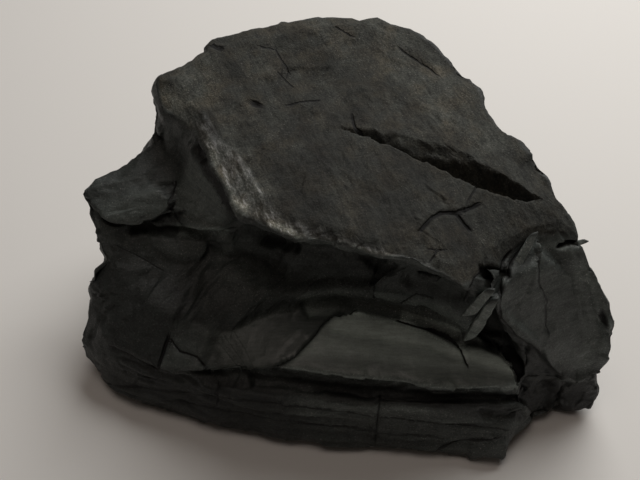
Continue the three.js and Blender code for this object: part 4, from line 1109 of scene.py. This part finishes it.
# Each bar's places, row by row, are followed by the middles of its foot and its tip.
rowsUp, roundCount = splinters["rowCount"], splinters["roundCount"]
quadsAll, fanAll, extra = [quads], [fan], []
start = len(places)
for number, (foot, tip, width, thickness) in enumerate(splinters["bars"]):
    bar = splinterPlaces(foot, tip, width, thickness, lump["seed"] + 30 + number)
    extra.append(np.vstack([bar.reshape(-1, 3), bar[0].mean(axis=0), bar[-1].mean(axis=0)]))
    index = start + np.arange(rowsUp * roundCount).reshape(rowsUp, roundCount)
    start += len(extra[-1])
    quadsAll.append(facesBetween(index[:-1], index[1:]))
    fanAll.append(endFan(index[0], start - 2)[:, [1, 0, 2]])
    fanAll.append(endFan(index[-1], start - 1))
barCount = start - len(places)
places = np.vstack([places] + extra)
print("splinters added:", len(extra))


# A finish over the lump's places, carried on over the splinters with a value of their own.
def padded(values, filler):
    return np.concatenate([values, np.broadcast_to(filler, barCount)])


upBar = np.repeat(np.linspace(0, 1, rowsUp), roundCount)
upBars = np.tile(np.append(upBar, (0, 1)), len(splinters["bars"]))
# The splinters' tips are painted darker than their feet: painted shade.
tipPaintedShade = splinters["toneAndPaintedLight"] - splinters["shadedTipTone"]
splinterPale = splinters["toneAndPaintedLight"] - tipPaintedShade * ramp(upBars, 0.86, 0.97)
faces = np.vstack(quadsAll).tolist() + np.vstack(fanAll).tolist()
lumpMesh = bpy.data.meshes.new("charcoalLump")
lumpMesh.from_pydata((places * toMetres).tolist(), [], faces)
lumpMesh.update()
lumpMesh.shade_smooth()
smoother = 0.55 + 0.45 * ramp(placeWay, 96, 106)  # the ledge's left end is rougher
# The doublings of the colour carry painted light and shade as well as the surface's own tone; the
# bevel carries the painted sheen on the top's edge.
finishes = {
    "crackSide": padded(crackSide, cracks["far"]),
    "crackNear": padded(crackNear, 0),
    "topFace": padded(onTop * (placeLevel > 9.9), 0),
    "smoothFace": padded(np.maximum(onLedge * smoother, 0.35 * flatFace), 0.25),
    "bevel": padded(onBevel, 0.2),
    "toneAndPaintedLight": padded(toneAndPaintedLight, splinterPale),
}
for name, values in finishes.items():
    attribute = lumpMesh.attributes.new(name, "FLOAT", "POINT")
    attribute.data.foreach_set("value", values.astype(np.float32))
lumpPiece = bpy.data.objects.new("charcoalLump", lumpMesh)
bpy.context.scene.collection.objects.link(lumpPiece)
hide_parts("charcoal_lump")
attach(lumpPiece, "root")
print("lump made:", len(lumpMesh.vertices), "points")

charcoal = {
    "dark": (0.0108, 0.0116, 0.0098, 1),
    "pale": (0.0365, 0.0382, 0.0325, 1),
    "paintedSheen": (0.092, 0.092, 0.089, 1),  # painted sheen on the rounded edge of the top
    # Pale specks painted into the colour: painted glints.
    "glintSpeck": (0.20, 0.19, 0.18, 1),
    "crack": (0.003, 0.003, 0.003, 1),
    "brown": (1.15, 1.0, 0.86, 1),       # tints that multiply the colour
    "cool": (0.91, 1.0, 1.09, 1),
    "roughLow": 0.45,
    "roughHigh": 0.70,
    "roughTop": 0.88,
    "roughBevel": 0.5,
    "roughLedge": 0.36,
    "ior": 1.5,
    "specular": 0.4,
    "bumpHeight": 0.00035,  # m
    "bumpRough": 0.8,       # strength on the broken faces
    "bumpSmooth": 0.25,     # and on the smooth ones
    "crackBump": 1.6,       # next to the wood grain and the grit together
    "grainTurn": -66.3,     # degrees, the grain's direction on top
    "streakScale": 1900,    # per metre
    "layerScale": 1300,
    "gritScale": 3200,
    "glintSpeckScale": 6500,
    "mottleScale": 520,
    "brownScale": 230,
}


# Charcoal: dark char, paler where a fine noise runs high, with grain streaks on top and thin level
# layers on the walls as bump, fine grit over all, pale specks as painted glints, a painted sheen on
# the top's edge, painted light and shade by patches, and dark cracks.
def charcoalMaterial():
    material = bpy.data.materials.new("charcoal")
    material.use_nodes = True
    nodes, links = material.node_tree.nodes, material.node_tree.links
    nodes.clear()

    def add(kind, **settings):
        node = nodes.new(kind)
        for name, value in settings.items():
            setattr(node, name, value)
        return node

    def read(name):
        return add("ShaderNodeAttribute", attribute_name=name).outputs["Fac"]

    def noise(vector, scale, detail, roughness=0.6):
        node = add("ShaderNodeTexNoise")
        links.new(vector, node.inputs["Vector"])
        node.inputs["Scale"].default_value = scale
        node.inputs["Detail"].default_value = detail
        node.inputs["Roughness"].default_value = roughness
        return node.outputs["Fac"]

    def maths(operation, first, second):
        node = add("ShaderNodeMath", operation=operation)
        for socket, value in zip(node.inputs, (first, second)):
            if isinstance(value, (int, float)):
                socket.default_value = value
            else:
                links.new(value, socket)
        return node.outputs[0]

    def mix(share, first, second, kind="FLOAT"):
        node = add("ShaderNodeMix", data_type=kind)
        used = [socket for socket in node.inputs if socket.enabled]
        for socket, value in zip(used, (share, first, second)):
            if isinstance(value, (int, float, tuple)):
                socket.default_value = value
            else:
                links.new(value, socket)
        return [socket for socket in node.outputs if socket.enabled][0]

    def spread(value, low, high, start=0.0, end=1.0):
        node = add("ShaderNodeMapRange")
        links.new(value, node.inputs["Value"])
        ends = {"From Min": low, "From Max": high, "To Min": start, "To Max": end}
        for name, number in ends.items():
            node.inputs[name].default_value = number
        return node.outputs["Result"]

    def stretched(turn, lengths):
        node = add("ShaderNodeMapping", vector_type="TEXTURE")
        links.new(coordinates, node.inputs["Vector"])
        node.inputs["Rotation"].default_value = (0, 0, np.radians(turn))
        node.inputs["Scale"].default_value = lengths
        return node.outputs["Vector"]

    coordinates = add("ShaderNodeTexCoord").outputs["Object"]
    streak = noise(stretched(charcoal["grainTurn"], (4, 1, 1.5)), charcoal["streakScale"], 6, 0.7)
    layer = noise(stretched(0, (7, 7, 1)), charcoal["layerScale"], 5)
    level = noise(stretched(0, (9, 1, 1)), charcoal["streakScale"], 5, 0.7)
    grit = noise(coordinates, charcoal["gritScale"], 4)
    mottle = noise(coordinates, charcoal["mottleScale"], 5, 0.65)
    fine = noise(coordinates, charcoal["glintSpeckScale"], 2)

    # a crack: within its half width of the line, which a noise makes stray from side to side
    wobble = maths("ADD", read("crackSide"), spread(mottle, 0.3, 0.7, -0.6, 0.6))
    crack = spread(maths("ABSOLUTE", wobble, 0), 0.9, 1.8, 0.96, 0.0)
    crack = maths("MULTIPLY", crack, read("crackNear"))

    # bump: wood grain and grit, weaker on smooth faces, less the cracks
    woodLines = mix(read("topFace"), layer, streak)
    relief = maths("ADD", maths("MULTIPLY", woodLines, 0.5), maths("MULTIPLY", grit, 0.5))
    relief = maths("SUBTRACT", relief, maths("MULTIPLY", crack, charcoal["crackBump"]))
    bump = add("ShaderNodeBump")
    bump.inputs["Distance"].default_value = charcoal["bumpHeight"]
    calm = maths("MAXIMUM", read("smoothFace"), spread(read("topFace"), 0.0, 1.0, 0.55, 0.0))
    bumpStrength = mix(calm, charcoal["bumpRough"], charcoal["bumpSmooth"])
    links.new(bumpStrength, bump.inputs["Strength"])
    links.new(relief, bump.inputs["Height"])

    # colour: dark to pale by the same noises, tinted, then painted glint specks, the painted sheen,
    # the painted light and shade of the patches, and cracks
    tone = maths("ADD", maths("MULTIPLY", woodLines, 0.35), maths("MULTIPLY", mottle, 0.30))
    tone = maths("ADD", tone, maths("MULTIPLY", grit, 0.35))
    tone = mix(maths("MULTIPLY", calm, 0.8), tone, spread(level, 0.2, 0.8, 0.44, 0.56))
    body = mix(spread(tone, 0.42, 0.58), charcoal["dark"], charcoal["pale"], "RGBA")
    brownish = spread(noise(coordinates, charcoal["brownScale"], 3), 0.42, 0.66)
    tint = mix(brownish, (1.0, 1.0, 1.0, 1), charcoal["brown"], "RGBA")
    tint = mix(read("topFace"), charcoal["cool"], tint, "RGBA")
    tinted = add("ShaderNodeVectorMath", operation="MULTIPLY")
    links.new(body, tinted.inputs[0])
    links.new(tint, tinted.inputs[1])
    # Painted glints: pale specks where two fine noises run high, none on the smooth faces.
    glintSpecks = maths("MULTIPLY", spread(fine, 0.62, 0.68), spread(grit, 0.48, 0.58))
    glintSpecks = maths("MULTIPLY", glintSpecks, spread(read("smoothFace"), 0.0, 1.0, 1.0, 0.0))
    body = mix(maths("MULTIPLY", glintSpecks, 0.55), tinted.outputs[0], charcoal["glintSpeck"], "RGBA")
    # Painted sheen: a silvery colour streaked along the grain on the top's rounded edge, standing
    # in for the light it reflects.
    paintedSheen = maths("MULTIPLY", spread(streak, 0.50, 0.60), spread(mottle, 0.44, 0.58))
    paintedSheen = maths("MULTIPLY", paintedSheen, read("bevel"))
    body = mix(paintedSheen, body, charcoal["paintedSheen"], "RGBA")
    # Scales the colour by the doublings, which carry painted light and shade as well as the
    # surface's own tone.
    strength = add("ShaderNodeVectorMath", operation="SCALE")
    links.new(body, strength.inputs[0])
    links.new(maths("POWER", 2.0, read("toneAndPaintedLight")), strength.inputs["Scale"])
    body = mix(crack, strength.outputs[0], charcoal["crack"], "RGBA")

    shader = add("ShaderNodeBsdfPrincipled")
    shader.inputs["IOR"].default_value = charcoal["ior"]
    shader.inputs["Specular IOR Level"].default_value = charcoal["specular"]
    links.new(body, shader.inputs["Base Color"])
    dull = spread(grit, 0.3, 0.7, charcoal["roughHigh"], charcoal["roughLow"])
    dullTop = mix(read("bevel"), charcoal["roughTop"], charcoal["roughBevel"])
    dull = mix(read("topFace"), dull, dullTop)
    links.new(mix(read("smoothFace"), dull, charcoal["roughLedge"]), shader.inputs["Roughness"])
    links.new(bump.outputs["Normal"], shader.inputs["Normal"])
    output = add("ShaderNodeOutputMaterial")
    links.new(shader.outputs["BSDF"], output.inputs["Surface"])
    return material


lumpMesh.materials.append(charcoalMaterial())
print("charcoal finish made")

floor = {
    "size": 3.0,
    "colour": (0.77, 0.755, 0.725, 1),
    "roughness": 0.9,
}
half = floor["size"] / 2
corners = [(-half, -half, 0), (half, -half, 0), (half, half, 0), (-half, half, 0)]
floorMesh = bpy.data.meshes.new("floor")
floorMesh.from_pydata(corners, [], [(0, 1, 2, 3)])
floorPiece = bpy.data.objects.new("floor", floorMesh)
bpy.context.scene.collection.objects.link(floorPiece)
floorMaterial = bpy.data.materials.new("floorPaper")
floorMaterial.use_nodes = True
paper = floorMaterial.node_tree.nodes["Principled BSDF"]
paper.inputs["Base Color"].default_value = floor["colour"]
paper.inputs["Roughness"].default_value = floor["roughness"]
floorMesh.materials.append(floorMaterial)

# Soft lights: (name, from where, distance in m, width in m, watts, colour).
lights = (
    ("backLight", (0.29, 0.52, 0.80), 0.36, 0.27, 1.06, (1.0, 0.985, 0.965)),
    ("ceilingLight", (-0.08, -0.10, 1.00), 0.60, 0.30, 0.37, (1.0, 0.88, 0.80)),
)
for name, direction, distance, width, watts, colour in lights:
    lightData = bpy.data.lights.new(name, "AREA")
    lightData.shape = "DISK"
    lightData.size = width
    lightData.energy = watts
    lightData.color = colour
    light = bpy.data.objects.new(name, lightData)
    toward = Vector(direction).normalized()
    light.location = toward * distance
    light.rotation_euler = (-toward).to_track_quat("-Z", "Y").to_euler()
    bpy.context.scene.collection.objects.link(light)

room = {
    "colour": (1.0, 0.83, 0.73, 1),
    "strength": 0.04,
}
world = bpy.data.worlds.new("room")
world.use_nodes = True
background = world.node_tree.nodes["Background"]
background.inputs["Color"].default_value = room["colour"]
background.inputs["Strength"].default_value = room["strength"]
bpy.context.scene.world = world
bpy.context.scene.view_settings.view_transform = "Standard"
print("floor and lights set")
